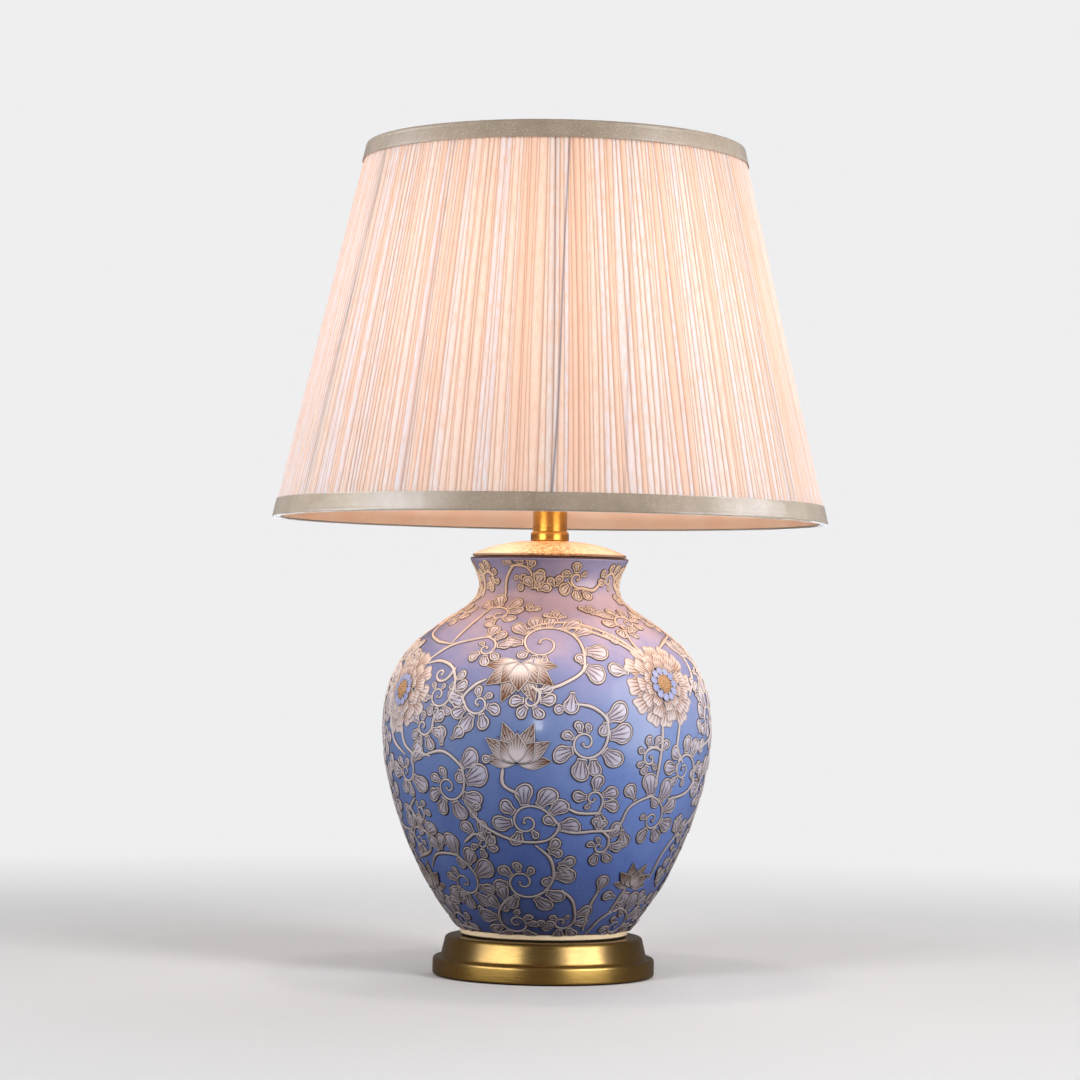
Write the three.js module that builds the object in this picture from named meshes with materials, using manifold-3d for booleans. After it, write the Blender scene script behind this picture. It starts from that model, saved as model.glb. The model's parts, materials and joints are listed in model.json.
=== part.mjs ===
// Table lamp with a ginger-jar body on a spun brass base, a harp and a pleated empire shade.
// Millimetres, +Z up, origin at the centre of the underside. The front of the lamp faces -Y.
import * as THREE from "three";
import { mergeVertices } from "three/addons/utils/BufferGeometryUtils.js";
import Module from "manifold-3d";

const wasm = await Module();
wasm.setup();

// ---- Driving dimensions ----

const CLEARANCE = 0.3; // between pieces that touch
const EASED_EDGE = 0.5; // broken edge of small hardware
const ROUNDED_EDGE = 1.0; // rounded end or corner of small hardware
const OVERRUN = 1; // how far a drilling runs past the wall that it opens
const FILLET_LIMIT = 0.45; // the largest share of a side that one fillet takes

// Facets round the turned pieces
const BASE_SEGMENTS = 28; // a multiple of 4, so that a corner lies where the cord leaves
const VASE_SEGMENTS = 28;
const NECK_SEGMENTS = 20;
const BULB_SEGMENTS = 16;
const HARDWARE_SEGMENTS = 12;
const SHADE_SEGMENTS = 30; // shared by cover, lining, rings and trims, so that their facets run parallel
const WIRE_SIDES = 6;
const FLUTE_SIDES = 8;

// Facets along the curved outlines
const VASE_STEPS = [6, 5, 3, 2]; // foot to belly, to shoulder, to neck, to lip
const INSIDE_COARSER = 2; // the inside of the vase and its cap has so many times fewer
const CAP_STEPS = 5;
const BULB_STEPS = 3;
const HARP_STEPS = 42;
const SPIDER_ARM_STEPS = 9;
const FINIAL_BALL_STEPS = 4;

// Base: a spun brass pan over an iron weight, closed below by a steel disc and felt
const FELT_MARGIN = 0.7; // how far the felt stays inside the rolled lip of the pan
const FELT_THICKNESS = 2.0;
const FELT_STANDOFF = 0.6; // how far the felt stands below the brass
const COVER_THICKNESS = 1.2;
const COVER_SEAT = 1.3; // how far the cover reaches over the rolled lip
const PAN_RADIUS = 80.4;
const PAN_SHEET = 1.2;
const PAN_LIP_WIDTH = 5.2; // the rim rolled in under the pan
const PAN_LIP_THICKNESS = 1.4;
const PAN_RIM_FILLET = 1.2;
const PAN_LEDGE_HEIGHT = 12.6;
const PAN_LEDGE_FILLET = 2.6;
const PAN_LEDGE_WIDTH = 6.0;
const PAN_STEP_TAPER = 3.2;
const PAN_STEP_FILLET = 2.4;
const PAN_HEIGHT = 27.8;
const WEIGHT_MARGIN = 6.0; // between the weight and the wall of the pan
const WEIGHT_THICKNESS = 12.6;
const WEIGHT_FILLET = 2;
const GROMMET_HEIGHT = 6.2;
const GROMMET_BORE_RADIUS = 2.9;
const GROMMET_WALL = 0.9;
const GROMMET_FLANGE = 0.9; // how far a flange stands out past the body of the grommet
const GROMMET_FLANGE_THICKNESS = 1.8;

// Threaded rod that clamps the lamp together, and its hardware
const ROD_RADIUS = 5.0;
const ROD_BORE_RADIUS = 3.7;
const ROD_END = 1.4; // how far the rod stands out past its nut
const ROD_STANDOUT = 5.0; // and into the socket cap
const NUT_ACROSS_FLATS = 17;
const NUT_THICKNESS = 5.0;
const FLAT_WASHER_RADIUS = 14;
const LOCK_WASHER_RADIUS = 9;
const WASHER_THICKNESS = 1.2;

// Vase: heights are measured from its foot
const FOOT_GASKET_THICKNESS = 1.0;
const FOOT_GASKET_WIDTH = 7;
const FOOT_GASKET_MARGIN = 1; // how far the gasket stays inside the foot
const VASE_FOOT_RADIUS = 60.5;
const VASE_FOOT_WIDTH = 10;
const VASE_FOOT_BAND = 3.6;
const VASE_FOOT_FLARE = 45.3; // degrees from level
const VASE_BELLY_RADIUS = 118.9;
const VASE_BELLY_HEIGHT = 149.0;
const VASE_SHOULDER_RADIUS = 72.2;
const VASE_SHOULDER_HEIGHT = 227.8;
const VASE_SHOULDER_SLOPE = 32.1; // degrees from level
const VASE_NECK_RADIUS = 50.4;
const VASE_NECK_HEIGHT = 253.5;
const VASE_LIP_RADIUS = 57.3;
const VASE_LIP_FLARE = 50.2; // degrees from level
const VASE_LIP_ROUND = 2.4;
const VASE_LIP_DEPTH = 3.6; // how far the round of the lip reaches inwards
const VASE_HEIGHT = 272.5;
const VASE_WALL = 7;
const VASE_FLOOR = 8;
const VASE_FOOT_RECESS = 4;
const VASE_FLOOR_CORNER = 2; // height of the slanting corner between floor and wall inside
const VASE_HOLE_CLEAR = 1; // extra room round the rod
// How far each curve of the side holds its first and its last direction, as shares of its span
const VASE_LOWER_HOLD = [0.3, 0.28];
const VASE_UPPER_HOLD = [0.45, 0.37];
const VASE_NECK_HOLD = [0.65, 0.3];
const VASE_LIP_HOLD = [0.2, 0.37];

// Domed cap in the mouth of the vase
const CAP_GASKET_THICKNESS = 0.6;
const CAP_GASKET_WIDTH = 5;
const CAP_GASKET_MARGIN = 4; // how far the gasket stays off the plug
const CAP_RADIUS = 56;
const CAP_RISE = 10.8;
const CAP_EDGE = 1; // thickness of the dome's edge
const CAP_RIM_HOLD = 12; // how far in from its edge the dome climbs
const CAP_RIM_SHARE = 0.62; // of its rise
const CAP_CROWN_HOLD = 14; // how far the dome runs level before its flat
const CAP_FLAT_RADIUS = 14.5;
const CAP_WALL = 4.2;
const CAP_PLUG_RADIUS = 42;
const CAP_PLUG_DEPTH = 8;

// Brass neck
const COLLAR_RADIUS = 13.9;
const COLLAR_HEIGHT = 7.0;
const COLLAR_WALL = 1.0;
const NECK_RADIUS = 12.5;
const NECK_LENGTH = 30;
const NECK_WALL = 1.0;
const NECK_CAP_RADIUS = 14;
const NECK_CAP_THICKNESS = 2.0;
const NECK_CAP_SPIGOT = 3.0;

// Lamp holder with its turn knob
const SOCKET_RADIUS = 19.0;
const SOCKET_SHEET = 0.7;
const SOCKET_CAP_HEIGHT = 17.5;
const SOCKET_CAP_OVERLAP = 5.5; // how deep the shell sits in the cap
const SOCKET_CAP_THROAT = 4; // width of the flat ring round the rod
const SOCKET_CAP_FLARE = 4; // slanting corner between floor and skirt
const SOCKET_CAP_FILLET = 3;
const SOCKET_CAP_KNEE = 3; // where the flare ends, below the shell
const SOCKET_SHELL_LENGTH = 45;
const LINER_WALL = 0.9;
const LINER_SHORT = 1; // how far the liner stops below the rim of the shell
const SOCKET_BODY_LENGTH = 27;
const SOCKET_BODY_CHAMFER = 5;
const SCREW_SHELL_BORE = 13.4;
const SCREW_SHELL_WALL = 0.7;
const SCREW_SHELL_LENGTH = 21;
const CONTACT_RADIUS = 4.5;
const CONTACT_RISE = 1.8;
const CONTACT_TAPER = 2;
const CONTACT_MARGIN = 1.5; // between the contact and the floor of the screw shell
const TERMINAL_HEAD_RADIUS = 2.6;
const TERMINAL_HEAD_THICKNESS = 1.4;
const TERMINAL_SHANK_RADIUS = 1.5;
const TERMINAL_SHANK_LENGTH = 5;
const TERMINAL_POCKET_MARGIN = 0.5;
const TERMINAL_HEIGHT = 12; // of the screws and of the knob shaft, above the underside of the shell
const KNOB_SHAFT_RADIUS = 2.2;
const KNOB_SHAFT_LENGTH = 24;
const KNOB_SHAFT_INSET = 10; // length of shaft inside the holder
const KNOB_HOLE_CLEAR = 0.6; // extra room round the shaft in shell and liner
const KNOB_RADIUS = 5.6;
const KNOB_LENGTH = 13;
const KNOB_TAPER = 1;
const KNOB_END_WALL = 2;
const KNOB_END_FILLET = 1.2;
const KNOB_FLUTES = 10;
const KNOB_FLUTE_RADIUS = 1.1;
const KNOB_FLUTE_OUTSET = 0.4; // of a flute's axis from the knob's side

// Bulb with an E27 cap
const BULB_RADIUS = 30;
const BULB_LENGTH = 107;
const BULB_CAP_RADIUS = 13.0;
const BULB_CAP_LENGTH = 24;
const BULB_CAP_SHEET = 0.5;
const BULB_CAP_TURN_IN = 2; // height of the cap's inner edge over its underside
const BULB_THREADS = 3;
const BULB_THREAD_START = 5; // above the underside of the cap
const BULB_THREAD_ZONE = 14.9;
const BULB_THREAD_DEPTH = 1.0;
const BULB_TIP_RADIUS = 4.0;
const BULB_TIP_HEIGHT = 1.6;
const BULB_TIP_TAPER = 1.5;
const BULB_INSULATOR_EDGE = 0.6; // how far the insulator stands out round the tip
const BULB_INSULATOR_CONE = 1.8;
const BULB_INSULATOR_HEIGHT = 4.6;
const BULB_GLASS_WALL = 0.8;
const BULB_GLASS_SEAT = 4; // depth of the glass in the cap
const BULB_NECK_STRAIGHT = 2;
const BULB_NECK_HOLD = 14; // how far neck and globe hold their direction where they meet
const BULB_SHOULDER = 36; // degrees below level where the globe gives way to the neck

// Harp: a wire bow that stands in two cups of a strap saddle
const SADDLE_THICKNESS = 1.6;
const SADDLE_WIDTH = 14;
const SADDLE_WAIST = 10; // from each cup to where the strap begins to widen
const HARP_HALF_SPAN = 29;
const HARP_WIRE_RADIUS = 1.65;
const HARP_HALF_WIDTH = 53;
const HARP_BELLY_SHARE = 0.48; // height of the widest place, from the top of the legs to the top of the bow
const HARP_HEIGHT = 226; // from the saddle plate to the top of the bow
const HARP_LEG_LENGTH = 24; // straight length of each leg
// How far the bow holds its direction at both ends of flare and crown, as shares
const HARP_FLARE_HOLD = [0.45, 0.5];
const HARP_CROWN_HOLD = [0.6, 0.65];
const HARP_EYE_RADIUS = 8.5;
const CUP_HEIGHT = 11;
const CUP_WALL = 1.2;
const CUP_SEAT = 2.0; // thickness of the floor that the leg stands on
const FERRULE_WALL = 0.8;
const FERRULE_LENGTH = 10.5;
const FERRULE_END = 1; // thickness of the end that stands on the cup
const STUD_RADIUS = 3.0;
const STUD_LENGTH = 11; // above its flange
const STUD_FLANGE_RADIUS = 8;
const STUD_FLANGE_THICKNESS = 1.4;
const STUD_HEAD_RADIUS = 5.5;
const STUD_HEAD_THICKNESS = 1.8;

// Shade: an empire cone of pleated cloth over a lining, on two wire rings and six ribs
const SHADE_BOTTOM_RADIUS = 201.0;
const SHADE_TOP_RADIUS = 137.5;
const SHADE_HEIGHT = 271.2;
const SHADE_CLEAR = 15.7; // from the top of the vase cap to the hem of the shade
const COVER_CLOTH = 1.2;
const LINING_CLOTH = 0.5;
const SHADE_WIRE_RADIUS = 1.4;
const RIB_COUNT = 6;
const RIB_RADIUS = 1.2;
const SPIDER_ARMS = 3;
const SPIDER_WIRE_RADIUS = 1.5;
const SPIDER_ARM_WELD = 3; // how far an arm runs onto the washer
const SPIDER_ARM_BEND = [0.45, 0.75]; // where an arm leaves the washer's level and reaches the ring's
const SPIDER_WASHER_RADIUS = 12;
const SPIDER_WASHER_THICKNESS = 1.8;
const TRIM_CLOTH = 0.7;
const TRIM_OUTER_HEIGHT = 12;
const TRIM_INNER_HEIGHT = 8;

// Finial
const FINIAL_HEIGHT = 22.5;
const FINIAL_BASE_RADIUS = 8;
const FINIAL_BASE_THICKNESS = 2.2;
const FINIAL_BASE_TAPER = 0.3;
const FINIAL_COVE = 1.2;
const FINIAL_NECK_RADIUS = 4.8;
const FINIAL_BALL_RADIUS = 7.2;
const FINIAL_BALL_FROM = -54; // degrees from level
const FINIAL_BALL_TO = 72;
const FINIAL_TIP_RADIUS = 1.6;
const FINIAL_TIP_HEIGHT = 1;

const radians = THREE.MathUtils.degToRad;

// ---- Stack of heights, worked out from the driving dimensions ----

const lipRadius = PAN_RADIUS - PAN_LIP_WIDTH; // the inside edge of the rolled lip
const stepRadius = PAN_RADIUS - PAN_LEDGE_WIDTH;
const stepTopRadius = stepRadius - PAN_STEP_TAPER;
const coverBottom = FELT_THICKNESS + CLEARANCE;
const panBottom = FELT_STANDOFF;
const panTop = panBottom + PAN_HEIGHT;
const weightTop = panTop - PAN_SHEET - CLEARANCE;
const weightBottom = weightTop - WEIGHT_THICKNESS;
const flatWasherBottom = weightBottom - CLEARANCE - WASHER_THICKNESS;
const lockWasherBottom = flatWasherBottom - CLEARANCE - WASHER_THICKNESS;
const nutBottom = lockWasherBottom - CLEARANCE - NUT_THICKNESS;
const rodBottom = nutBottom - ROD_END;
const footGasketBottom = panTop + CLEARANCE;
const vaseBottom = footGasketBottom + FOOT_GASKET_THICKNESS + CLEARANCE;
const vaseTop = vaseBottom + VASE_HEIGHT;
const capGasketBottom = vaseTop + CLEARANCE;
const capBottom = capGasketBottom + CAP_GASKET_THICKNESS + CLEARANCE;
const capTop = capBottom + CAP_RISE;
const collarBottom = capTop + CLEARANCE;
const neckBottom = collarBottom + COLLAR_WALL + CLEARANCE;
const neckTop = neckBottom + NECK_LENGTH;
const neckCapBottom = neckTop + CLEARANCE;
const saddleBottom = neckCapBottom + NECK_CAP_THICKNESS + CLEARANCE;
const saddleTop = saddleBottom + SADDLE_THICKNESS;
const socketBottom = saddleTop + CLEARANCE;
const shellBottom = socketBottom + SOCKET_CAP_HEIGHT - SOCKET_CAP_OVERLAP;
const socketBodyBottom = shellBottom - 2 * CLEARANCE;
const socketBodyTop = socketBodyBottom + SOCKET_BODY_LENGTH;
const screwShellBottom = socketBodyTop + CLEARANCE;
const contactTop = screwShellBottom + CONTACT_RISE;
const rodTop = socketBottom + ROD_STANDOUT;
const knobAxisHeight = shellBottom + TERMINAL_HEIGHT;
const bulbBottom = contactTop + CLEARANCE;
const bulbCapBottom = bulbBottom + BULB_TIP_HEIGHT;
const harpTop = saddleTop + HARP_HEIGHT;
const harpEyeBottom = harpTop - 2 * HARP_WIRE_RADIUS;
const studFlangeBottom = harpTop + CLEARANCE;
const studFlangeTop = studFlangeBottom + STUD_FLANGE_THICKNESS;
const spiderBottom = studFlangeTop + CLEARANCE;
const finialBottom = spiderBottom + SPIDER_WASHER_THICKNESS + CLEARANCE;
const shadeBottom = capTop + SHADE_CLEAR;
const shadeTop = shadeBottom + SHADE_HEIGHT;

const rodHole = ROD_RADIUS + CLEARANCE;
const shadeSlope = (SHADE_BOTTOM_RADIUS - SHADE_TOP_RADIUS) / SHADE_HEIGHT;
const wireDepth = COVER_CLOTH + CLEARANCE / Math.cos(Math.atan(shadeSlope)) + SHADE_WIRE_RADIUS;
const liningDepth = wireDepth + SHADE_WIRE_RADIUS + CLEARANCE;

// Radius of the outside of the shade's cover at a height.
const shadeRadius = (z) => SHADE_BOTTOM_RADIUS - shadeSlope * (z - shadeBottom);

// ---- Geometry helpers ----

// A closed outline in (radius, height) from corners [r, z, fillet]; a fillet is kept within its two sides.
function outline(corners, steps = 1) {
  const points = [];
  corners.forEach(([r, z, fillet = 0], i) => {
    const here = new THREE.Vector2(r, z);
    if (!fillet) {
      points.push(here);
      return;
    }
    const before = new THREE.Vector2(...corners[(i + corners.length - 1) % corners.length]).sub(here);
    const after = new THREE.Vector2(...corners[(i + 1) % corners.length]).sub(here);
    const half = Math.abs(before.angleTo(after)) / 2;
    const longest = FILLET_LIMIT * Math.min(before.length(), after.length());
    const reach = Math.min(fillet / Math.tan(half), longest);
    const start = here.clone().add(before.setLength(reach));
    const end = here.clone().add(after.setLength(reach));
    const curve = new THREE.QuadraticBezierCurve(start, here, end);
    points.push(...curve.getPoints(steps));
  });
  return points;
}

// Revolves an outline about Z. It may touch the axis or close on itself, and may run either way round.
function turned(points, segments = NECK_SEGMENTS) {
  const closed = THREE.ShapeUtils.area(points) > 0 ? points.slice() : points.slice().reverse();
  const onAxis = (p) => Math.abs(p.x) < 1e-9;
  const firstAxis = closed.findIndex((p, i) => onAxis(p) && !onAxis(closed[(i + 1) % closed.length]));
  if (firstAxis >= 0) closed.push(...closed.splice(0, firstAxis));
  else closed.push(closed[0].clone());
  return new THREE.LatheGeometry(closed, segments).rotateX(Math.PI / 2);
}

const circle = (radius) => new THREE.Shape().absarc(0, 0, radius, 0, 2 * Math.PI);

// A plain round disc or, with a hole, a washer.
function disc(radius, bottom, thickness, hole = 0, segments = BASE_SEGMENTS, fillet = 0) {
  const top = bottom + thickness;
  const section = [[hole, bottom], [radius, bottom, fillet], [radius, top, fillet], [hole, top]];
  return turned(outline(section), segments);
}

// A round wire along a curve.
function wire(curve, radius, steps) {
  return new THREE.ExtrudeGeometry(circle(radius), {
    steps,
    curveSegments: WIRE_SIDES / 2,
    extrudePath: curve,
    bevelEnabled: false,
  });
}

// An extrusion of a shape along +Z from a height.
function raised(shape, bottom, thickness, curveSegments = 6) {
  const settings = { depth: thickness, bevelEnabled: false, curveSegments };
  return new THREE.ExtrudeGeometry(shape, settings).translate(0, 0, bottom);
}

function toSolid(geometry) {
  const bare = geometry.index ? geometry.toNonIndexed() : geometry.clone();
  bare.deleteAttribute("normal");
  bare.deleteAttribute("uv");
  const merged = mergeVertices(bare, 1e-4);
  const vertProperties = new Float32Array(merged.attributes.position.array);
  const triVerts = new Uint32Array(merged.index.array);
  return new wasm.Manifold(new wasm.Mesh({ numProp: 3, vertProperties, triVerts }));
}

function toGeometry(solid) {
  const { vertProperties, triVerts, numProp } = solid.getMesh();
  const position = new Float32Array((vertProperties.length / numProp) * 3);
  for (let i = 0; i < position.length / 3; i += 1) {
    for (let k = 0; k < 3; k += 1) position[3 * i + k] = vertProperties[numProp * i + k];
  }
  const geometry = new THREE.BufferGeometry();
  geometry.setAttribute("position", new THREE.BufferAttribute(position, 3));
  geometry.setIndex(new THREE.BufferAttribute(new Uint32Array(triVerts), 1));
  const flat = geometry.toNonIndexed();
  flat.computeVertexNormals();
  return flat;
}

const join = (...parts) => toGeometry(parts.map(toSolid).reduce((a, b) => a.add(b)));

function cut(part, ...tools) {
  return toGeometry(tools.map(toSolid).reduce((a, b) => a.subtract(b), toSolid(part)));
}

// A cylinder along Y from y0 to y1 at (x, z).
function barAlongY(radius, y0, y1, x, z) {
  return disc(radius, 0, y1 - y0, 0, HARDWARE_SEGMENTS)
    .rotateX(-Math.PI / 2)
    .translate(x, y0, z);
}

// ---- Materials ----

function material(color, roughness, metalness) {
  return new THREE.MeshStandardMaterial({ color, roughness, metalness });
}

const brushedBrass = () => material(0xc8963c, 0.32, 1);
const brightBrass = () => material(0xd8ab55, 0.25, 1);
const steel = () => material(0xb9bcc0, 0.35, 1);
const castIron = () => material(0x3b3b3d, 0.75, 0.6);
const felt = () => material(0x2c2a28, 0.95, 0);
const rubber = () => material(0x1c1c1c, 0.8, 0);
const glaze = () => material(0x6583c4, 0.15, 0);
const creamGlaze = () => material(0xe6cfae, 0.25, 0);
const phenolic = () => material(0x1d1916, 0.45, 0);
const fibreboard = () => material(0x8a7350, 0.9, 0);
const frosted = () => material(0xfff4e0, 0.4, 0);
const pleatedCloth = () => material(0xf6dcc8, 0.9, 0);
const liningCloth = () => material(0xf7d2b4, 0.85, 0);
const satinTape = () => material(0xcfc4b8, 0.6, 0);

// ---- Assembly ----

const lamp = new THREE.Group();

function add(name, geometry, finish) {
  const mesh = new THREE.Mesh(geometry, finish);
  mesh.name = name;
  lamp.add(mesh);
  return mesh;
}

function addBase() {
  add("felt_pad", disc(lipRadius - FELT_MARGIN, 0, FELT_THICKNESS), felt());
  add("base_cover", disc(lipRadius + COVER_SEAT, coverBottom, COVER_THICKNESS), steel());
  const grommetBody = GROMMET_BORE_RADIUS + GROMMET_WALL;
  const grommetAxis = panBottom + GROMMET_HEIGHT;
  const holeRadius = grommetBody + CLEARANCE;
  const cordHole = barAlongY(holeRadius, stepRadius, PAN_RADIUS + OVERRUN, 0, grommetAxis);
  add("base_shell", cut(panSkin(), cordHole), brushedBrass());
  const weightRadius = stepTopRadius - PAN_SHEET - WEIGHT_MARGIN;
  const weight = disc(weightRadius, weightBottom, WEIGHT_THICKNESS, rodHole, NECK_SEGMENTS, WEIGHT_FILLET);
  add("base_weight", weight, castIron());
  add("cord_grommet", grommet(grommetBody).translate(0, 0, grommetAxis), rubber());
}

// The spun pan: outside from the rolled rim over ledge and step to the deck, then back along the inside.
function panSkin() {
  const ledge = panBottom + PAN_LEDGE_HEIGHT;
  const lipTop = panBottom + PAN_LIP_THICKNESS;
  const t = PAN_SHEET;
  const outside = outline([
    [lipRadius, panBottom],
    [PAN_RADIUS, panBottom, PAN_RIM_FILLET],
    [PAN_RADIUS, ledge, PAN_LEDGE_FILLET],
    [stepRadius, ledge],
    [stepTopRadius, panTop, PAN_STEP_FILLET],
    [rodHole, panTop],
  ], 2);
  const inside = outline([
    [rodHole, panTop - t],
    [stepTopRadius - t, panTop - t, PAN_STEP_FILLET - t],
    [stepRadius - t, ledge - t],
    [PAN_RADIUS - t, ledge - t, PAN_LEDGE_FILLET - t],
    [PAN_RADIUS - t, lipTop],
    [lipRadius, lipTop],
  ]);
  return turned([...outside, ...inside], BASE_SEGMENTS);
}

// A rubber grommet on Y: a flange outside the pan's wall and one inside it.
function grommet(body) {
  const flange = body + GROMMET_FLANGE;
  const fallAway = flange * Math.tan(Math.PI / BASE_SEGMENTS); // of the round wall from the flat flange
  const innerFace = -PAN_SHEET - CLEARANCE - fallAway;
  const inside = innerFace - GROMMET_FLANGE_THICKNESS;
  const shape = outline([
    [GROMMET_BORE_RADIUS, inside],
    [flange, inside, EASED_EDGE],
    [flange, innerFace],
    [body, innerFace],
    [body, CLEARANCE],
    [flange, CLEARANCE],
    [flange, CLEARANCE + GROMMET_FLANGE_THICKNESS, ROUNDED_EDGE],
    [GROMMET_BORE_RADIUS, CLEARANCE + GROMMET_FLANGE_THICKNESS],
  ]);
  return turned(shape, HARDWARE_SEGMENTS).rotateX(-Math.PI / 2).translate(0, PAN_RADIUS, 0);
}

function addRod() {
  const rod = outline([
    [ROD_BORE_RADIUS, rodBottom],
    [ROD_RADIUS, rodBottom, EASED_EDGE],
    [ROD_RADIUS, rodTop, EASED_EDGE],
    [ROD_BORE_RADIUS, rodTop],
  ]);
  add("lamp_rod", turned(rod, HARDWARE_SEGMENTS), steel());
  const washer = (radius, bottom) => disc(radius, bottom, WASHER_THICKNESS, rodHole, HARDWARE_SEGMENTS);
  add("flat_washer", washer(FLAT_WASHER_RADIUS, flatWasherBottom), steel());
  add("lock_washer", washer(LOCK_WASHER_RADIUS, lockWasherBottom), steel());
  const hex = new THREE.Shape();
  const corner = NUT_ACROSS_FLATS / Math.sqrt(3);
  for (let i = 0; i < 6; i += 1) {
    const a = (i * Math.PI) / 3;
    if (i) hex.lineTo(corner * Math.cos(a), corner * Math.sin(a));
    else hex.moveTo(corner, 0);
  }
  hex.holes.push(new THREE.Path().absarc(0, 0, rodHole, 0, 2 * Math.PI, true));
  add("rod_nut", raised(hex, nutBottom, NUT_THICKNESS), steel());
}

// The jar's side as four curves: foot to belly, belly to shoulder, shoulder to neck, neck to lip.
function vaseSide() {
  const at = (r, h) => new THREE.Vector2(r, vaseBottom + h);
  const foot = at(VASE_FOOT_RADIUS, VASE_FOOT_BAND);
  const belly = at(VASE_BELLY_RADIUS, VASE_BELLY_HEIGHT);
  const shoulder = at(VASE_SHOULDER_RADIUS, VASE_SHOULDER_HEIGHT);
  const neck = at(VASE_NECK_RADIUS, VASE_NECK_HEIGHT);
  const lip = at(VASE_LIP_RADIUS, VASE_HEIGHT - VASE_LIP_ROUND);
  const heading = (degrees) => new THREE.Vector2(Math.cos(radians(degrees)), Math.sin(radians(degrees)));
  const outward = heading(VASE_FOOT_FLARE);
  const up = heading(90);
  const inward = heading(180 - VASE_SHOULDER_SLOPE);
  const lipward = heading(VASE_LIP_FLARE);
  // A curve that leaves along one direction and arrives along another.
  const bend = (from, leave, to, arrive, [first, last]) => {
    const span = from.distanceTo(to);
    const a = from.clone().addScaledVector(leave, first * span);
    const b = to.clone().addScaledVector(arrive, -last * span);
    return new THREE.CubicBezierCurve(from, a, b, to);
  };
  return [
    bend(foot, outward, belly, up, VASE_LOWER_HOLD),
    bend(belly, up, shoulder, inward, VASE_UPPER_HOLD),
    bend(shoulder, inward, neck, up, VASE_NECK_HOLD),
    bend(neck, up, lip, lipward, VASE_LIP_HOLD),
  ].map((curve, i) => ({ curve, steps: VASE_STEPS[i] }));
}

// Samples a run of curves, moved sideways by an offset towards the axis.
function sampled(curves, inset, coarser = 1) {
  const points = [];
  curves.forEach(({ curve, steps }, i) => {
    const count = Math.max(2, Math.round(steps / coarser));
    for (let k = i ? 1 : 0; k <= count; k += 1) {
      const along = curve.getTangent(k / count);
      const inwards = new THREE.Vector2(-along.y, along.x);
      points.push(curve.getPoint(k / count).addScaledVector(inwards, inset));
    }
  });
  return points;
}

// A flat rubber ring.
function gasket(radius, width, bottom, thickness) {
  return disc(radius, bottom, thickness, radius - width, NECK_SEGMENTS);
}

function addVase() {
  const footInner = VASE_FOOT_RADIUS - VASE_FOOT_WIDTH;
  const gasketRadius = VASE_FOOT_RADIUS - FOOT_GASKET_MARGIN;
  const footGasket = gasket(gasketRadius, FOOT_GASKET_WIDTH, footGasketBottom, FOOT_GASKET_THICKNESS);
  add("foot_gasket", footGasket, rubber());

  const side = vaseSide();
  const floorTop = vaseBottom + VASE_FOOT_RECESS + VASE_FLOOR;
  const wallBottom = floorTop + VASE_FLOOR_CORNER;
  const inner = sampled(side, VASE_WALL, INSIDE_COARSER).filter((p) => p.y > wallBottom);
  const holeRadius = rodHole + VASE_HOLE_CLEAR;
  const mouth = VASE_LIP_RADIUS - VASE_WALL - VASE_LIP_ROUND;
  const lip = new THREE.QuadraticBezierCurve(
    new THREE.Vector2(VASE_LIP_RADIUS, vaseTop - VASE_LIP_ROUND),
    new THREE.Vector2(VASE_LIP_RADIUS, vaseTop),
    new THREE.Vector2(VASE_LIP_RADIUS - VASE_LIP_DEPTH, vaseTop),
  );
  const points = [
    new THREE.Vector2(holeRadius, vaseBottom + VASE_FOOT_RECESS),
    new THREE.Vector2(footInner, vaseBottom + VASE_FOOT_RECESS),
    new THREE.Vector2(footInner, vaseBottom),
    new THREE.Vector2(VASE_FOOT_RADIUS, vaseBottom),
    ...sampled(side, 0),
    ...lip.getPoints(2).slice(1),
    new THREE.Vector2(mouth, vaseTop),
    ...inner.filter((p) => p.y < vaseTop - VASE_WALL).reverse(),
    new THREE.Vector2(inner[0].x - VASE_WALL, floorTop),
    new THREE.Vector2(holeRadius, floorTop),
  ];
  add("vase", turned(points, VASE_SEGMENTS), glaze());
}

function addVaseCap() {
  const gasketRadius = CAP_PLUG_RADIUS + CLEARANCE + CAP_GASKET_MARGIN + CAP_GASKET_WIDTH;
  const capGasket = gasket(gasketRadius, CAP_GASKET_WIDTH, capGasketBottom, CAP_GASKET_THICKNESS);
  add("cap_gasket", capGasket, rubber());

  const rim = new THREE.Vector2(CAP_RADIUS, capBottom + CAP_EDGE);
  const crown = new THREE.Vector2(CAP_FLAT_RADIUS, capTop);
  const dome = new THREE.CubicBezierCurve(
    rim,
    new THREE.Vector2(CAP_RADIUS - CAP_RIM_HOLD, capBottom + CAP_RIM_SHARE * CAP_RISE),
    new THREE.Vector2(CAP_FLAT_RADIUS + CAP_CROWN_HOLD, capTop),
    crown,
  );
  const under = sampled([{ curve: dome, steps: CAP_STEPS }], CAP_WALL, INSIDE_COARSER);
  const inside = under.filter((p) => p.x < CAP_PLUG_RADIUS - CAP_WALL);
  const plugBottom = capBottom - CAP_PLUG_DEPTH;
  const points = [
    new THREE.Vector2(CAP_PLUG_RADIUS, capBottom),
    new THREE.Vector2(CAP_RADIUS - EASED_EDGE, capBottom),
    ...dome.getPoints(CAP_STEPS),
    new THREE.Vector2(rodHole, capTop),
    new THREE.Vector2(rodHole, capTop - CAP_WALL),
    ...inside.reverse(),
    new THREE.Vector2(CAP_PLUG_RADIUS - CAP_WALL, plugBottom),
    new THREE.Vector2(CAP_PLUG_RADIUS, plugBottom),
  ];
  add("vase_cap", turned(points, VASE_SEGMENTS), creamGlaze());
}

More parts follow.
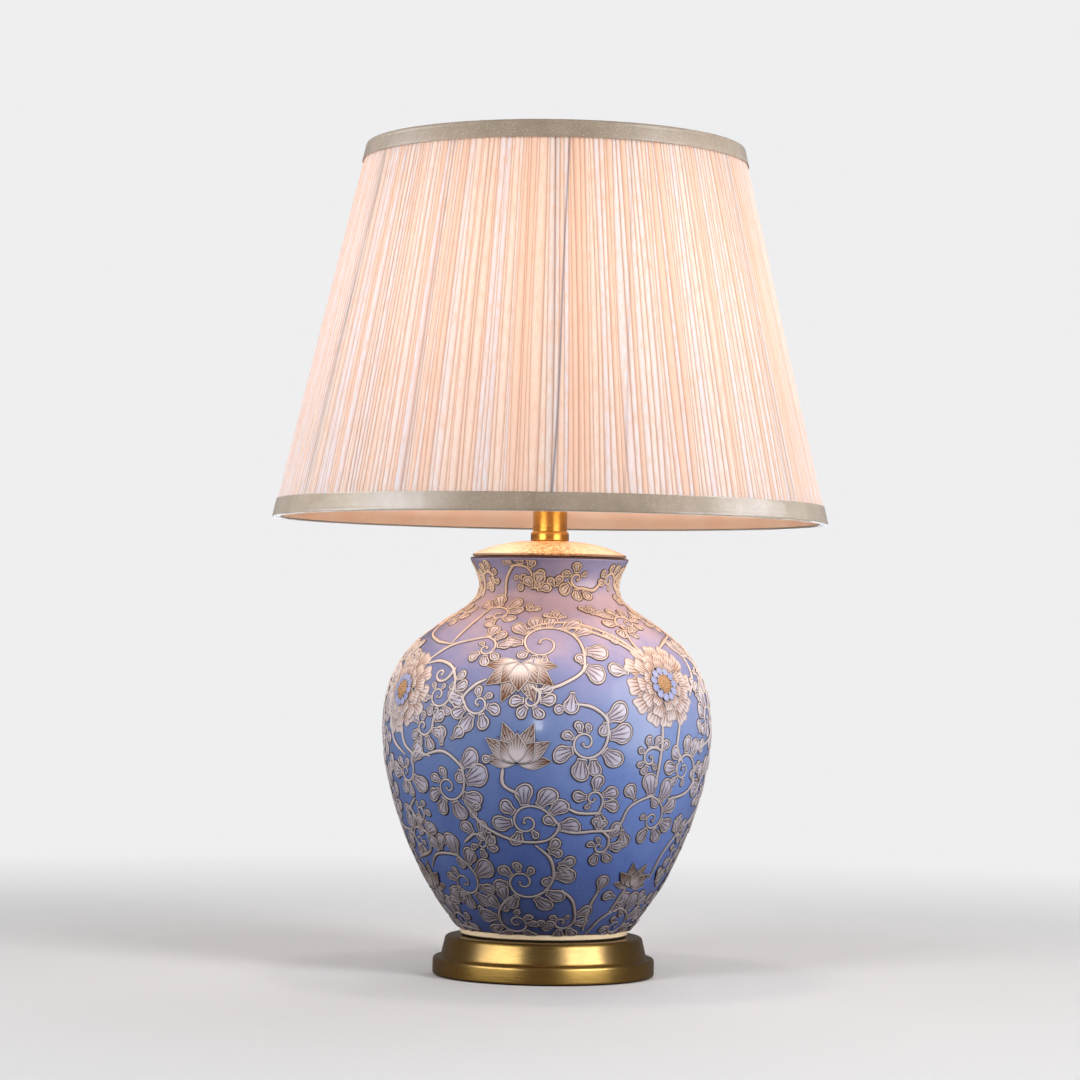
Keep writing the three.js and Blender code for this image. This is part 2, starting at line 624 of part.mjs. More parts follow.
function addNeck() {
  const collarInner = COLLAR_RADIUS - COLLAR_WALL;
  const collar = outline([
    [rodHole, collarBottom],
    [COLLAR_RADIUS, collarBottom, EASED_EDGE],
    [COLLAR_RADIUS, collarBottom + COLLAR_HEIGHT, EASED_EDGE],
    [collarInner, collarBottom + COLLAR_HEIGHT],
    [collarInner, collarBottom + COLLAR_WALL],
    [rodHole, collarBottom + COLLAR_WALL],
  ]);
  add("neck_collar", turned(collar), brushedBrass());
  const tube = disc(NECK_RADIUS, neckBottom, NECK_LENGTH, NECK_RADIUS - NECK_WALL, NECK_SEGMENTS);
  add("neck_tube", tube, brushedBrass());
  const spigot = NECK_RADIUS - NECK_WALL - CLEARANCE;
  const cap = outline([
    [rodHole, neckTop - NECK_CAP_SPIGOT],
    [spigot, neckTop - NECK_CAP_SPIGOT, EASED_EDGE],
    [spigot, neckCapBottom],
    [NECK_CAP_RADIUS, neckCapBottom],
    [NECK_CAP_RADIUS, neckCapBottom + NECK_CAP_THICKNESS, EASED_EDGE],
    [rodHole, neckCapBottom + NECK_CAP_THICKNESS],
  ]);
  add("neck_cap", turned(cap), brightBrass());
}

// A strap across the lamp with a cup at each end for the legs of the harp.
function addSaddle() {
  const half = SADDLE_WIDTH / 2;
  const waist = HARP_HALF_SPAN - SADDLE_WAIST;
  const cupOuter = HARP_WIRE_RADIUS + CLEARANCE + CUP_WALL;
  const strap = new THREE.Shape();
  strap.moveTo(-HARP_HALF_SPAN, -cupOuter);
  strap.quadraticCurveTo(-waist, -cupOuter, -half, -half);
  strap.lineTo(half, -half);
  strap.quadraticCurveTo(waist, -cupOuter, HARP_HALF_SPAN, -cupOuter);
  strap.absarc(HARP_HALF_SPAN, 0, cupOuter, -Math.PI / 2, Math.PI / 2);
  strap.quadraticCurveTo(waist, cupOuter, half, half);
  strap.lineTo(-half, half);
  strap.quadraticCurveTo(-waist, cupOuter, -HARP_HALF_SPAN, cupOuter);
  strap.absarc(-HARP_HALF_SPAN, 0, cupOuter, Math.PI / 2, (3 * Math.PI) / 2);
  strap.holes.push(new THREE.Path().absarc(0, 0, rodHole, 0, 2 * Math.PI, true));
  const plate = raised(strap, saddleBottom, SADDLE_THICKNESS);
  const cups = [-1, 1].map((side) => legCup(cupOuter).translate(side * HARP_HALF_SPAN, 0, saddleTop));
  add("harp_saddle", join(plate, ...cups), steel());
}

function legCup(outer) {
  const bore = HARP_WIRE_RADIUS + CLEARANCE;
  const sunk = -SADDLE_THICKNESS / 2; // the cup is brazed into the strap
  const cup = outline([
    [0, sunk],
    [outer, sunk],
    [outer, CUP_HEIGHT, EASED_EDGE],
    [bore, CUP_HEIGHT],
    [bore, CUP_SEAT],
    [0, CUP_SEAT],
  ]);
  return turned(cup, HARDWARE_SEGMENTS);
}

function addSocket() {
  const capOuter = SOCKET_RADIUS + CLEARANCE + SOCKET_SHEET;
  const capTopZ = socketBottom + SOCKET_CAP_HEIGHT;
  const t = SOCKET_SHEET;
  const throat = rodHole + SOCKET_CAP_THROAT;
  const flareRadius = capOuter - SOCKET_CAP_FLARE;
  const flareTop = socketBottom + SOCKET_CAP_FLARE;
  const knee = shellBottom - SOCKET_CAP_KNEE;
  const cap = outline([
    [rodHole, socketBottom],
    [throat, socketBottom],
    [flareRadius, flareTop, SOCKET_CAP_FILLET],
    [capOuter, knee, SOCKET_CAP_FILLET],
    [capOuter, capTopZ],
    [capOuter - t, capTopZ],
    [capOuter - t, knee, SOCKET_CAP_FILLET],
    [flareRadius - t, flareTop + t / 2, SOCKET_CAP_FILLET],
    [throat - t / 2, socketBottom + t],
    [rodHole, socketBottom + t],
  ]);
  add("socket_cap", turned(cap), brightBrass());

  const shaftHole = (extra) => {
    const radius = KNOB_SHAFT_RADIUS + CLEARANCE + extra;
    return barAlongY(radius, -SOCKET_RADIUS - OVERRUN, -KNOB_SHAFT_INSET, 0, knobAxisHeight);
  };
  const sleeve = (radius, length, wall) => disc(radius, shellBottom, length, radius - wall, NECK_SEGMENTS);
  const shell = sleeve(SOCKET_RADIUS, SOCKET_SHELL_LENGTH, t);
  add("socket_shell", cut(shell, shaftHole(KNOB_HOLE_CLEAR)), brightBrass());
  const linerOuter = SOCKET_RADIUS - t - CLEARANCE;
  const liner = sleeve(linerOuter, SOCKET_SHELL_LENGTH - LINER_SHORT, LINER_WALL);
  add("socket_liner", cut(liner, shaftHole(KNOB_HOLE_CLEAR)), fibreboard());
  addSocketBody(linerOuter - LINER_WALL - CLEARANCE, shaftHole(0));
}

// The switch body inside the liner, with its terminals, screw shell and centre contact.
function addSocketBody(radius, shaftHole) {
  const flat = radius - TERMINAL_HEAD_THICKNESS - CLEARANCE;
  const bottom = socketBodyBottom;
  const body = outline([
    [0, bottom],
    [radius - SOCKET_BODY_CHAMFER, bottom],
    [radius, bottom + SOCKET_BODY_CHAMFER, ROUNDED_EDGE],
    [radius, socketBodyTop, ROUNDED_EDGE],
    [0, socketBodyTop],
  ]);
  const pockets = [-1, 1].map((side) => terminalPocket(flat).rotateZ(side > 0 ? 0 : Math.PI));
  add("socket_body", cut(turned(body), shaftHole, ...pockets), phenolic());
  [["terminal_screw_left", Math.PI], ["terminal_screw_right", 0]].forEach(([name, turn]) => {
    add(name, terminalScrew(flat).rotateZ(turn), brightBrass());
  });

  const bore = SCREW_SHELL_BORE;
  const outer = bore + SCREW_SHELL_WALL;
  const floor = screwShellBottom + SCREW_SHELL_WALL;
  const hole = CONTACT_RADIUS + CONTACT_MARGIN;
  const top = screwShellBottom + SCREW_SHELL_LENGTH;
  const cup = outline([
    [hole, screwShellBottom],
    [outer, screwShellBottom, ROUNDED_EDGE],
    [outer, top],
    [bore, top],
    [bore, floor, ROUNDED_EDGE],
    [hole, floor],
  ]);
  add("screw_shell", turned(cup), brightBrass());
  const contact = outline([
    [0, screwShellBottom],
    [CONTACT_RADIUS, screwShellBottom],
    [CONTACT_RADIUS - CONTACT_TAPER, contactTop, ROUNDED_EDGE],
    [0, contactTop],
  ]);
  add("centre_contact", turned(contact, HARDWARE_SEGMENTS), brightBrass());
}

// A flat-bottomed pocket with a blind hole, on +X, for a terminal screw.
function terminalPocket(flat) {
  const width = 2 * (TERMINAL_HEAD_RADIUS + CLEARANCE + TERMINAL_POCKET_MARGIN);
  const depth = SOCKET_RADIUS - flat;
  const pocket = new THREE.BoxGeometry(depth, width, width).translate(flat + depth / 2, 0, 0);
  const reach = TERMINAL_SHANK_LENGTH + CLEARANCE;
  const hole = disc(TERMINAL_SHANK_RADIUS + CLEARANCE, 0, reach + OVERRUN, 0, HARDWARE_SEGMENTS)
    .rotateY(Math.PI / 2)
    .translate(flat - reach, 0, 0);
  return join(pocket, hole).translate(0, 0, knobAxisHeight);
}

function terminalScrew(flat) {
  const head = TERMINAL_HEAD_THICKNESS + CLEARANCE / 2; // clear of its seat and just inside the body
  const shape = outline([
    [0, -TERMINAL_SHANK_LENGTH],
    [TERMINAL_SHANK_RADIUS, -TERMINAL_SHANK_LENGTH, EASED_EDGE],
    [TERMINAL_SHANK_RADIUS, CLEARANCE],
    [TERMINAL_HEAD_RADIUS, CLEARANCE],
    [TERMINAL_HEAD_RADIUS, head, EASED_EDGE],
    [0, head],
  ]);
  return turned(shape, HARDWARE_SEGMENTS)
    .rotateY(Math.PI / 2)
    .translate(flat, 0, knobAxisHeight);
}

// The turn switch: a shaft out through the shell towards -Y and a fluted knob on it.
function addKnob() {
  const inner = -KNOB_SHAFT_INSET - CLEARANCE;
  const outer = inner - KNOB_SHAFT_LENGTH;
  add("knob_shaft", barAlongY(KNOB_SHAFT_RADIUS, outer, inner, 0, knobAxisHeight), brightBrass());
  const bore = KNOB_SHAFT_RADIUS + CLEARANCE;
  const closed = outer - CLEARANCE;
  const shape = outline([
    [0, 0],
    [KNOB_RADIUS - KNOB_TAPER, 0, KNOB_END_FILLET],
    [KNOB_RADIUS, KNOB_LENGTH, ROUNDED_EDGE],
    [bore, KNOB_LENGTH],
    [bore, KNOB_END_WALL],
    [0, KNOB_END_WALL],
  ]);
  const blank = turned(shape, 2 * KNOB_FLUTES);
  const flutes = [];
  for (let i = 0; i < KNOB_FLUTES; i += 1) {
    const flute = disc(KNOB_FLUTE_RADIUS, KNOB_END_WALL, KNOB_LENGTH, 0, FLUTE_SIDES);
    flute.translate(KNOB_RADIUS + KNOB_FLUTE_OUTSET, 0, 0).rotateZ((2 * Math.PI * i) / KNOB_FLUTES);
    flutes.push(flute);
  }
  const knob = cut(blank, ...flutes)
    .rotateX(-Math.PI / 2)
    .translate(0, closed - KNOB_END_WALL, knobAxisHeight);
  add("socket_knob", knob, phenolic());
}

function addBulb() {
  const tip = outline([
    [0, bulbBottom],
    [BULB_TIP_RADIUS - BULB_TIP_TAPER, bulbBottom, ROUNDED_EDGE],
    [BULB_TIP_RADIUS, bulbCapBottom],
    [0, bulbCapBottom],
  ]);
  add("bulb_tip", turned(tip, HARDWARE_SEGMENTS), steel());
  const insulatorRadius = BULB_CAP_RADIUS / 2;
  const insulator = outline([
    [0, bulbCapBottom + CLEARANCE],
    [BULB_TIP_RADIUS + BULB_INSULATOR_EDGE, bulbCapBottom + CLEARANCE],
    [insulatorRadius, bulbCapBottom + BULB_INSULATOR_CONE],
    [insulatorRadius, bulbCapBottom + BULB_INSULATOR_HEIGHT],
    [0, bulbCapBottom + BULB_INSULATOR_HEIGHT],
  ]);
  add("bulb_insulator", turned(insulator, BULB_SEGMENTS), phenolic());

  // Cap: the rolled thread is drawn as rings
  const threadStart = bulbCapBottom + BULB_THREAD_START;
  const pitch = BULB_THREAD_ZONE / BULB_THREADS;
  const wall = BULB_CAP_SHEET;
  const root = BULB_CAP_RADIUS - BULB_THREAD_DEPTH;
  const capTopZ = bulbCapBottom + BULB_CAP_LENGTH;
  const edgeRadius = insulatorRadius + CLEARANCE + 2 * wall;
  const edge = new THREE.Vector2(edgeRadius, bulbCapBottom + BULB_CAP_TURN_IN);
  const outside = [edge, new THREE.Vector2(root, threadStart)];
  for (let i = 0; i < BULB_THREADS; i += 1) {
    const z = threadStart + i * pitch;
    outside.push(new THREE.Vector2(BULB_CAP_RADIUS, z + pitch / 2));
    outside.push(new THREE.Vector2(root, z + pitch));
  }
  outside.push(new THREE.Vector2(BULB_CAP_RADIUS - wall, capTopZ));
  const inside = outside.map((p, i) => new THREE.Vector2(p.x - wall, p.y + (i < 2 ? wall : 0)));
  add("bulb_cap", turned([...outside, ...inside.reverse()], BULB_SEGMENTS), steel());
  addBulbGlass(capTopZ, root - wall - CLEARANCE);
}

// The envelope: a thin blown shell, open at the neck that is cemented into the cap.
function addBulbGlass(capTopZ, neckRadius) {
  const top = bulbBottom + BULB_LENGTH;
  const centre = top - BULB_RADIUS;
  const shoulder = radians(BULB_SHOULDER);
  const neckStraight = capTopZ + BULB_NECK_STRAIGHT;
  const globe = new THREE.Path();
  globe.moveTo(neckRadius, capTopZ - BULB_GLASS_SEAT);
  globe.lineTo(neckRadius, neckStraight);
  const leave = new THREE.Vector2(Math.cos(shoulder), -Math.sin(shoulder)).multiplyScalar(BULB_RADIUS);
  leave.y += centre;
  const pull = new THREE.Vector2(Math.sin(shoulder), Math.cos(shoulder)).multiplyScalar(BULB_NECK_HOLD);
  const below = leave.clone().sub(pull);
  globe.bezierCurveTo(neckRadius, neckStraight + BULB_NECK_HOLD, below.x, below.y, leave.x, leave.y);
  globe.absarc(0, centre, BULB_RADIUS, -shoulder, Math.PI / 2, false);
  const outside = globe.getPoints(BULB_STEPS);
  outside[outside.length - 1].x = 0;
  const t = BULB_GLASS_WALL;
  const inside = outside.map((p) => new THREE.Vector2(Math.max(0, p.x * (1 - t / BULB_RADIUS)), p.y));
  inside.forEach((p, i) => {
    if (i < 2 || p.x > neckRadius - t) p.x = Math.min(p.x, outside[i].x - t);
    if (outside[i].y > centre) p.y = centre + (outside[i].y - centre) * (1 - t / BULB_RADIUS);
  });
  inside[inside.length - 1].x = 0;
  add("bulb_glass", turned([...outside, ...inside.reverse()], BULB_SEGMENTS), frosted());
}

// The bow: straight legs, a wide belly and a flattened eye at the top that carries the stud.
function addHarp() {
  const legBottom = saddleTop + CUP_SEAT + CLEARANCE;
  const legTop = legBottom + HARP_LEG_LENGTH;
  const axisTop = harpTop - HARP_WIRE_RADIUS;
  const bellyHeight = legTop + HARP_BELLY_SHARE * (axisTop - legTop);
  const at = (x, z) => new THREE.Vector3(x, 0, z);
  const flareRise = bellyHeight - legTop;
  const flare = (side) => [
    at(side * HARP_HALF_SPAN, legTop),
    at(side * HARP_HALF_SPAN, legTop + HARP_FLARE_HOLD[0] * flareRise),
    at(side * HARP_HALF_WIDTH, bellyHeight - HARP_FLARE_HOLD[1] * flareRise),
    at(side * HARP_HALF_WIDTH, bellyHeight),
  ];
  const crown = (side) => [
    at(side * HARP_HALF_WIDTH, bellyHeight),
    at(side * HARP_HALF_WIDTH, bellyHeight + HARP_CROWN_HOLD[0] * (axisTop - bellyHeight)),
    at(side * HARP_CROWN_HOLD[1] * HARP_HALF_WIDTH, axisTop),
    at(side * HARP_EYE_RADIUS, axisTop),
  ];
  const bow = new THREE.CurvePath();
  bow.add(new THREE.LineCurve3(at(HARP_HALF_SPAN, legBottom), at(HARP_HALF_SPAN, legTop)));
  bow.add(new THREE.CubicBezierCurve3(...flare(1)));
  bow.add(new THREE.CubicBezierCurve3(...crown(1)));
  bow.add(new THREE.LineCurve3(at(HARP_EYE_RADIUS, axisTop), at(-HARP_EYE_RADIUS, axisTop)));
  bow.add(new THREE.CubicBezierCurve3(...crown(-1).reverse()));
  bow.add(new THREE.CubicBezierCurve3(...flare(-1).reverse()));
  bow.add(new THREE.LineCurve3(at(-HARP_HALF_SPAN, legTop), at(-HARP_HALF_SPAN, legBottom)));
  const eye = disc(HARP_EYE_RADIUS, harpEyeBottom, 2 * HARP_WIRE_RADIUS, 0, NECK_SEGMENTS);
  const drilled = 2 * (HARP_WIRE_RADIUS + OVERRUN);
  const hole = disc(STUD_RADIUS + CLEARANCE, harpEyeBottom - OVERRUN, drilled, 0, HARDWARE_SEGMENTS);
  add("harp_bow", cut(join(wire(bow, HARP_WIRE_RADIUS, HARP_STEPS), eye), hole), steel());

  const cupOuter = HARP_WIRE_RADIUS + CLEARANCE + CUP_WALL;
  const sleeve = [
    [cupOuter + CLEARANCE, 0],
    [cupOuter + CLEARANCE + FERRULE_WALL, 0, EASED_EDGE],
    [cupOuter + CLEARANCE + FERRULE_WALL, FERRULE_LENGTH, EASED_EDGE],
    [HARP_WIRE_RADIUS + CLEARANCE, FERRULE_LENGTH],
    [HARP_WIRE_RADIUS + CLEARANCE, FERRULE_LENGTH - FERRULE_END],
    [cupOuter + CLEARANCE, FERRULE_LENGTH - FERRULE_END],
  ];
  const sleeveBottom = saddleTop + CUP_HEIGHT + CLEARANCE + FERRULE_END - FERRULE_LENGTH;
  [["ferrule_left", -1], ["ferrule_right", 1]].forEach(([name, side]) => {
    const ferrule = turned(outline(sleeve), HARDWARE_SEGMENTS);
    add(name, ferrule.translate(side * HARP_HALF_SPAN, 0, sleeveBottom), brightBrass());
  });

  const headTop = harpEyeBottom - CLEARANCE;
  const stud = outline([
    [0, headTop - STUD_HEAD_THICKNESS],
    [STUD_HEAD_RADIUS, headTop - STUD_HEAD_THICKNESS, ROUNDED_EDGE],
    [STUD_HEAD_RADIUS, headTop],
    [STUD_RADIUS, headTop],
    [STUD_RADIUS, studFlangeBottom],
    [STUD_FLANGE_RADIUS, studFlangeBottom, EASED_EDGE],
    [STUD_FLANGE_RADIUS, studFlangeTop, EASED_EDGE],
    [STUD_RADIUS, studFlangeTop],
    [STUD_RADIUS, studFlangeTop + STUD_LENGTH, ROUNDED_EDGE],
    [0, studFlangeTop + STUD_LENGTH],
  ]);
  add("harp_stud", turned(stud, HARDWARE_SEGMENTS), brightBrass());
}

// A wire ring of the shade, centred at a height.
function wireRing(z) {
  const radius = shadeRadius(z) - wireDepth;
  const section = [];
  for (let i = 0; i < WIRE_SIDES; i += 1) {
    const a = (2 * Math.PI * i) / WIRE_SIDES;
    const spoke = new THREE.Vector2(Math.cos(a), Math.sin(a)).multiplyScalar(SHADE_WIRE_RADIUS);
    section.push(spoke.add(new THREE.Vector2(radius, z)));
  }
  return turned(section, SHADE_SEGMENTS);
}

// A cone of cloth between two depths below the outside of the shade.
function clothCone(outerDepth, thickness, bottom, top) {
  const at = (depth, z) => new THREE.Vector2(shadeRadius(z) - depth, z);
  const inner = outerDepth + thickness;
  const section = [at(outerDepth, bottom), at(outerDepth, top), at(inner, top), at(inner, bottom)];
  return turned(section, SHADE_SEGMENTS);
}

// A tape folded over an edge of the shade: hem is -1 for the bottom edge and 1 for the top.
function edgeTrim(edge, hem) {
  const innerFace = liningDepth + LINING_CLOTH + CLEARANCE;
  const at = (depth, rise) => [shadeRadius(edge - hem * rise) - depth, edge - hem * rise];
  const fold = -CLEARANCE - TRIM_CLOTH;
  return turned(outline([
    at(-CLEARANCE - TRIM_CLOTH, fold),
    at(-CLEARANCE - TRIM_CLOTH, TRIM_OUTER_HEIGHT),
    at(-CLEARANCE, TRIM_OUTER_HEIGHT),
    at(-CLEARANCE, -CLEARANCE),
    at(innerFace, -CLEARANCE),
    at(innerFace, TRIM_INNER_HEIGHT),
    at(innerFace + TRIM_CLOTH, TRIM_INNER_HEIGHT),
    at(innerFace + TRIM_CLOTH, fold),
  ]), SHADE_SEGMENTS);
}

function addShade() {
  const ringInset = CLEARANCE + SHADE_WIRE_RADIUS;
  const topRingHeight = shadeTop - ringInset;
  const bottomRingHeight = shadeBottom + ringInset;
  add("shade_top_ring", spider(topRingHeight), steel());
  add("shade_bottom_ring", wireRing(bottomRingHeight), steel());

  const ribDirection = new THREE.Vector3(shadeSlope, 0, -1).normalize();
  const ribTopZ = topRingHeight - SHADE_WIRE_RADIUS - CLEARANCE;
  const ribBottomZ = bottomRingHeight + SHADE_WIRE_RADIUS + CLEARANCE;
  const ribLength = (ribTopZ - ribBottomZ) / -ribDirection.z;
  for (let i = 0; i < RIB_COUNT; i += 1) {
    const top = new THREE.Vector3(shadeRadius(ribTopZ) - wireDepth, 0, ribTopZ);
    const bottom = top.clone().addScaledVector(ribDirection, ribLength);
    const rib = wire(new THREE.LineCurve3(bottom, top), RIB_RADIUS, 1);
    add(`shade_rib_${i + 1}`, rib.rotateZ(-Math.PI / 2 + (2 * Math.PI * i) / RIB_COUNT), steel());
  }

  add("shade_cover", clothCone(0, COVER_CLOTH, shadeBottom, shadeTop), pleatedCloth());
  const lining = clothCone(liningDepth, LINING_CLOTH, shadeBottom, shadeTop);
  add("shade_lining", cut(lining, ...armNotches(topRingHeight)), liningCloth());
  add("trim_bottom", edgeTrim(shadeBottom, -1), satinTape());
  add("trim_top", cut(edgeTrim(shadeTop, 1), ...armNotches(topRingHeight)), satinTape());
}

const armAngle = (i) => Math.PI / 2 + (2 * Math.PI * i) / SPIDER_ARMS;

// Where the spider's arms pass through the lining and the inside of the trim.
function armNotches(ringHeight) {
  const bottom = ringHeight - SPIDER_WIRE_RADIUS - 2 * CLEARANCE;
  const height = shadeTop + CLEARANCE - bottom;
  const width = 2 * (SPIDER_WIRE_RADIUS + CLEARANCE);
  const depth = liningDepth + TRIM_CLOTH;
  const outer = shadeRadius(ringHeight) - wireDepth;
  return Array.from({ length: SPIDER_ARMS }, (_, i) =>
    new THREE.BoxGeometry(depth, width, height)
      .translate(outer - depth / 2, 0, bottom + height / 2)
      .rotateZ(armAngle(i)),
  );
}

// The top ring with its three arms welded to the washer that sits on the harp.
function spider(ringHeight) {
  const hole = STUD_RADIUS + CLEARANCE;
  const washer = disc(SPIDER_WASHER_RADIUS, spiderBottom, SPIDER_WASHER_THICKNESS, hole, NECK_SEGMENTS);
  const parts = [washer, wireRing(ringHeight)];
  const reach = shadeRadius(ringHeight) - wireDepth;
  const axisHeight = spiderBottom + SPIDER_WASHER_THICKNESS / 2;
  for (let i = 0; i < SPIDER_ARMS; i += 1) {
    const arm = new THREE.CubicBezierCurve3(
      new THREE.Vector3(SPIDER_WASHER_RADIUS - SPIDER_ARM_WELD, 0, axisHeight),
      new THREE.Vector3(SPIDER_ARM_BEND[0] * reach, 0, axisHeight),
      new THREE.Vector3(SPIDER_ARM_BEND[1] * reach, 0, ringHeight),
      new THREE.Vector3(reach, 0, ringHeight),
    );
    parts.push(wire(arm, SPIDER_WIRE_RADIUS, SPIDER_ARM_STEPS).rotateZ(armAngle(i)));
  }
  return join(...parts);
}

function addFinial() {
  const boreTop = studFlangeTop + STUD_LENGTH + 2 * CLEARANCE;
  const top = finialBottom + FINIAL_HEIGHT;
  const bore = STUD_RADIUS + CLEARANCE;
  const baseTop = finialBottom + FINIAL_BASE_THICKNESS;
  const ballCentre = top - FINIAL_BALL_RADIUS - FINIAL_TIP_HEIGHT;
  const ball = new THREE.Path();
  ball.absarc(0, ballCentre, FINIAL_BALL_RADIUS, radians(FINIAL_BALL_FROM), radians(FINIAL_BALL_TO), false);
  const points = [
    new THREE.Vector2(bore, finialBottom),
    new THREE.Vector2(FINIAL_BASE_RADIUS - EASED_EDGE, finialBottom),
    new THREE.Vector2(FINIAL_BASE_RADIUS, finialBottom + EASED_EDGE),
    new THREE.Vector2(FINIAL_BASE_RADIUS - FINIAL_BASE_TAPER, baseTop),
    new THREE.Vector2(FINIAL_NECK_RADIUS, baseTop + FINIAL_COVE),
    ...ball.getPoints(FINIAL_BALL_STEPS),
    new THREE.Vector2(FINIAL_TIP_RADIUS, top - EASED_EDGE),
    new THREE.Vector2(FINIAL_TIP_RADIUS - EASED_EDGE, top),
    new THREE.Vector2(0, top),
    new THREE.Vector2(0, boreTop),
    new THREE.Vector2(bore, boreTop),
  ];
  add("finial", turned(points, HARDWARE_SEGMENTS), brightBrass());
}

addBase();
addRod();
addVase();
addVaseCap();
addNeck();
addSaddle();
addSocket();
addKnob();
addBulb();
addHarp();
addShade();
addFinial();

export default lamp;
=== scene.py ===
import json
import math

import bpy
import numpy as np
from mathutils import Euler, Matrix, Vector

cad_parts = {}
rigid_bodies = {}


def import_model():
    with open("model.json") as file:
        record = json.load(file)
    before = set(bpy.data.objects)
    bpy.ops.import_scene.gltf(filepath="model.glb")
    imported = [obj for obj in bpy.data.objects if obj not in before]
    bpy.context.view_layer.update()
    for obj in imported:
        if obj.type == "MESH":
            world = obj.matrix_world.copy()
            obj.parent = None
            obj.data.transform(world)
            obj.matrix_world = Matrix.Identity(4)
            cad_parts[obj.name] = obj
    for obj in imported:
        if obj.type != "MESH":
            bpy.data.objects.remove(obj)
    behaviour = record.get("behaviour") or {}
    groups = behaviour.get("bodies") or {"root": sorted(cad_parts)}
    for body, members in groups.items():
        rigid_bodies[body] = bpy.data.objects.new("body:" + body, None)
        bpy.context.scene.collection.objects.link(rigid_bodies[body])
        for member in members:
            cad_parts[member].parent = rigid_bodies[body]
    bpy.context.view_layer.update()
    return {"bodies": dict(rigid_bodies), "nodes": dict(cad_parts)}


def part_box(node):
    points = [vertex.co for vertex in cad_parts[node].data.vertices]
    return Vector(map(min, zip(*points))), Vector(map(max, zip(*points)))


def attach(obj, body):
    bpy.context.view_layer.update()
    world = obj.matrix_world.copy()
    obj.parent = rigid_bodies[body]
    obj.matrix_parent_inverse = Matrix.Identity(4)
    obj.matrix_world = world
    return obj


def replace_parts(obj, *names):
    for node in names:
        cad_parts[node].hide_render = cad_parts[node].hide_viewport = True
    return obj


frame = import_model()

MM = 0.001
UP = (0, 0, 1)
rng = np.random.default_rng(11)


def span(node):
    """Underside, top and reach from the axis of a CAD node, in mm."""
    lower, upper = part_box(node)
    return lower.z / MM, upper.z / MM, upper.x / MM


VASE_BOTTOM, VASE_TOP, _ = span("vase")
SHADE_BOTTOM, SHADE_TOP, _ = span("shade_cover")


# ---- meshes

def placed(name, data):
    """A new object of the scene."""
    made = bpy.data.objects.new(name, data)
    bpy.context.scene.collection.objects.link(made)
    return made


def solid(name, shape, material):
    """A mesh object of (points, faces)."""
    points, faces = shape
    mesh = bpy.data.meshes.new(name)
    mesh.from_pydata((np.asarray(points, float) * MM).tolist(), [], faces)
    mesh.materials.append(material)
    return placed(name, mesh)


def piece(name, shape, look, body="stand", node=None, marks=None, crease=38):
    """A smooth mesh riding on a body, in one of the finishes; it stands in for a CAD node if one is given.
    marks are values kept at each point for its material, and edges sharper than crease degrees stay sharp."""
    made = solid(name, shape, finish[look])
    for mark, values in (marks or {}).items():
        kind, key = ("FLOAT", "value") if np.ndim(values) == 1 else ("FLOAT_VECTOR", "vector")
        attribute = made.data.attributes.new(mark, kind, "POINT")
        attribute.data.foreach_set(key, np.asarray(values, np.float32).ravel())
    made.data.shade_smooth()
    if crease:
        made.data.set_sharp_from_angle(angle=math.radians(crease))
    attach(made, body)
    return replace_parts(made, node) if node else made


def grid(rows, columns, join_rows=False, join_columns=False):
    """Quads of a grid of points; a joined direction closes on itself."""
    i = np.arange(rows if join_rows else rows - 1)[:, None]
    j = np.arange(columns if join_columns else columns - 1)[None, :]
    i2, j2 = (i + 1) % rows, (j + 1) % columns
    corners = [i * columns + j, i2 * columns + j, i2 * columns + j2, i * columns + j2]
    return np.stack(np.broadcast_arrays(*corners), -1).reshape(-1, 4).tolist()


def flipped(faces):
    """The same faces seen from behind."""
    return [face[::-1] for face in faces]


def turn(profile, sides=96, closed=True):
    """Points and quads of (radius, height) pairs turned round the axis."""
    profile = np.asarray(profile, float)
    angle = np.arange(sides) * 2 * np.pi / sides
    radius, height = profile.T
    x, y = np.outer(np.cos(angle), radius), np.outer(np.sin(angle), radius)
    points = np.stack([x, y, np.tile(height, (sides, 1))], -1).reshape(-1, 3)
    return points, grid(sides, len(profile), True, closed)


def rounded(corners, steps):
    """An outline through (radius, height) or (radius, height, fillet) corners."""
    made = []
    for i, corner in enumerate(corners):
        here = np.array(corner[:2], float)
        if len(corner) == 2:
            made.append(here)
            continue
        before = np.array(corners[i - 1][:2], float) - here
        after = np.array(corners[(i + 1) % len(corners)][:2], float) - here
        start = here + before / np.linalg.norm(before) * corner[2]
        end = here + after / np.linalg.norm(after) * corner[2]
        share = np.linspace(0, 1, steps)
        made += [(1 - t) ** 2 * start + 2 * t * (1 - t) * here + t * t * end for t in share]
    return made


def disc(hole, radius, lower, upper, ease=(0.5, 0.5)):
    """Corners of a washer with its lower and its upper edge eased."""
    return [(hole, lower), (radius, lower, ease[0]), (radius, upper, ease[1]), (hole, upper)]


def ball_side(radius, middle, angles):
    """The side of a ball on the axis, at angles above the level of its middle."""
    return [(radius * math.cos(a), middle + radius * math.sin(a)) for a in angles]


def lathe(name, node, corners, look, steps, sides):
    """A turned part of the stand with eased corners, in place of a CAD one."""
    piece(name, turn(rounded(corners, steps), sides), look, node=node)


def bezier(a, b, c, d, steps):
    """Points along a cubic curve from a to d, pulled by b and c."""
    t = np.linspace(0, 1, steps + 1)[:, None]
    a, b, c, d = (np.array(p, float) for p in (a, b, c, d))
    return (1 - t) ** 3 * a + 3 * t * (1 - t) ** 2 * b + 3 * t * t * (1 - t) * c + t ** 3 * d


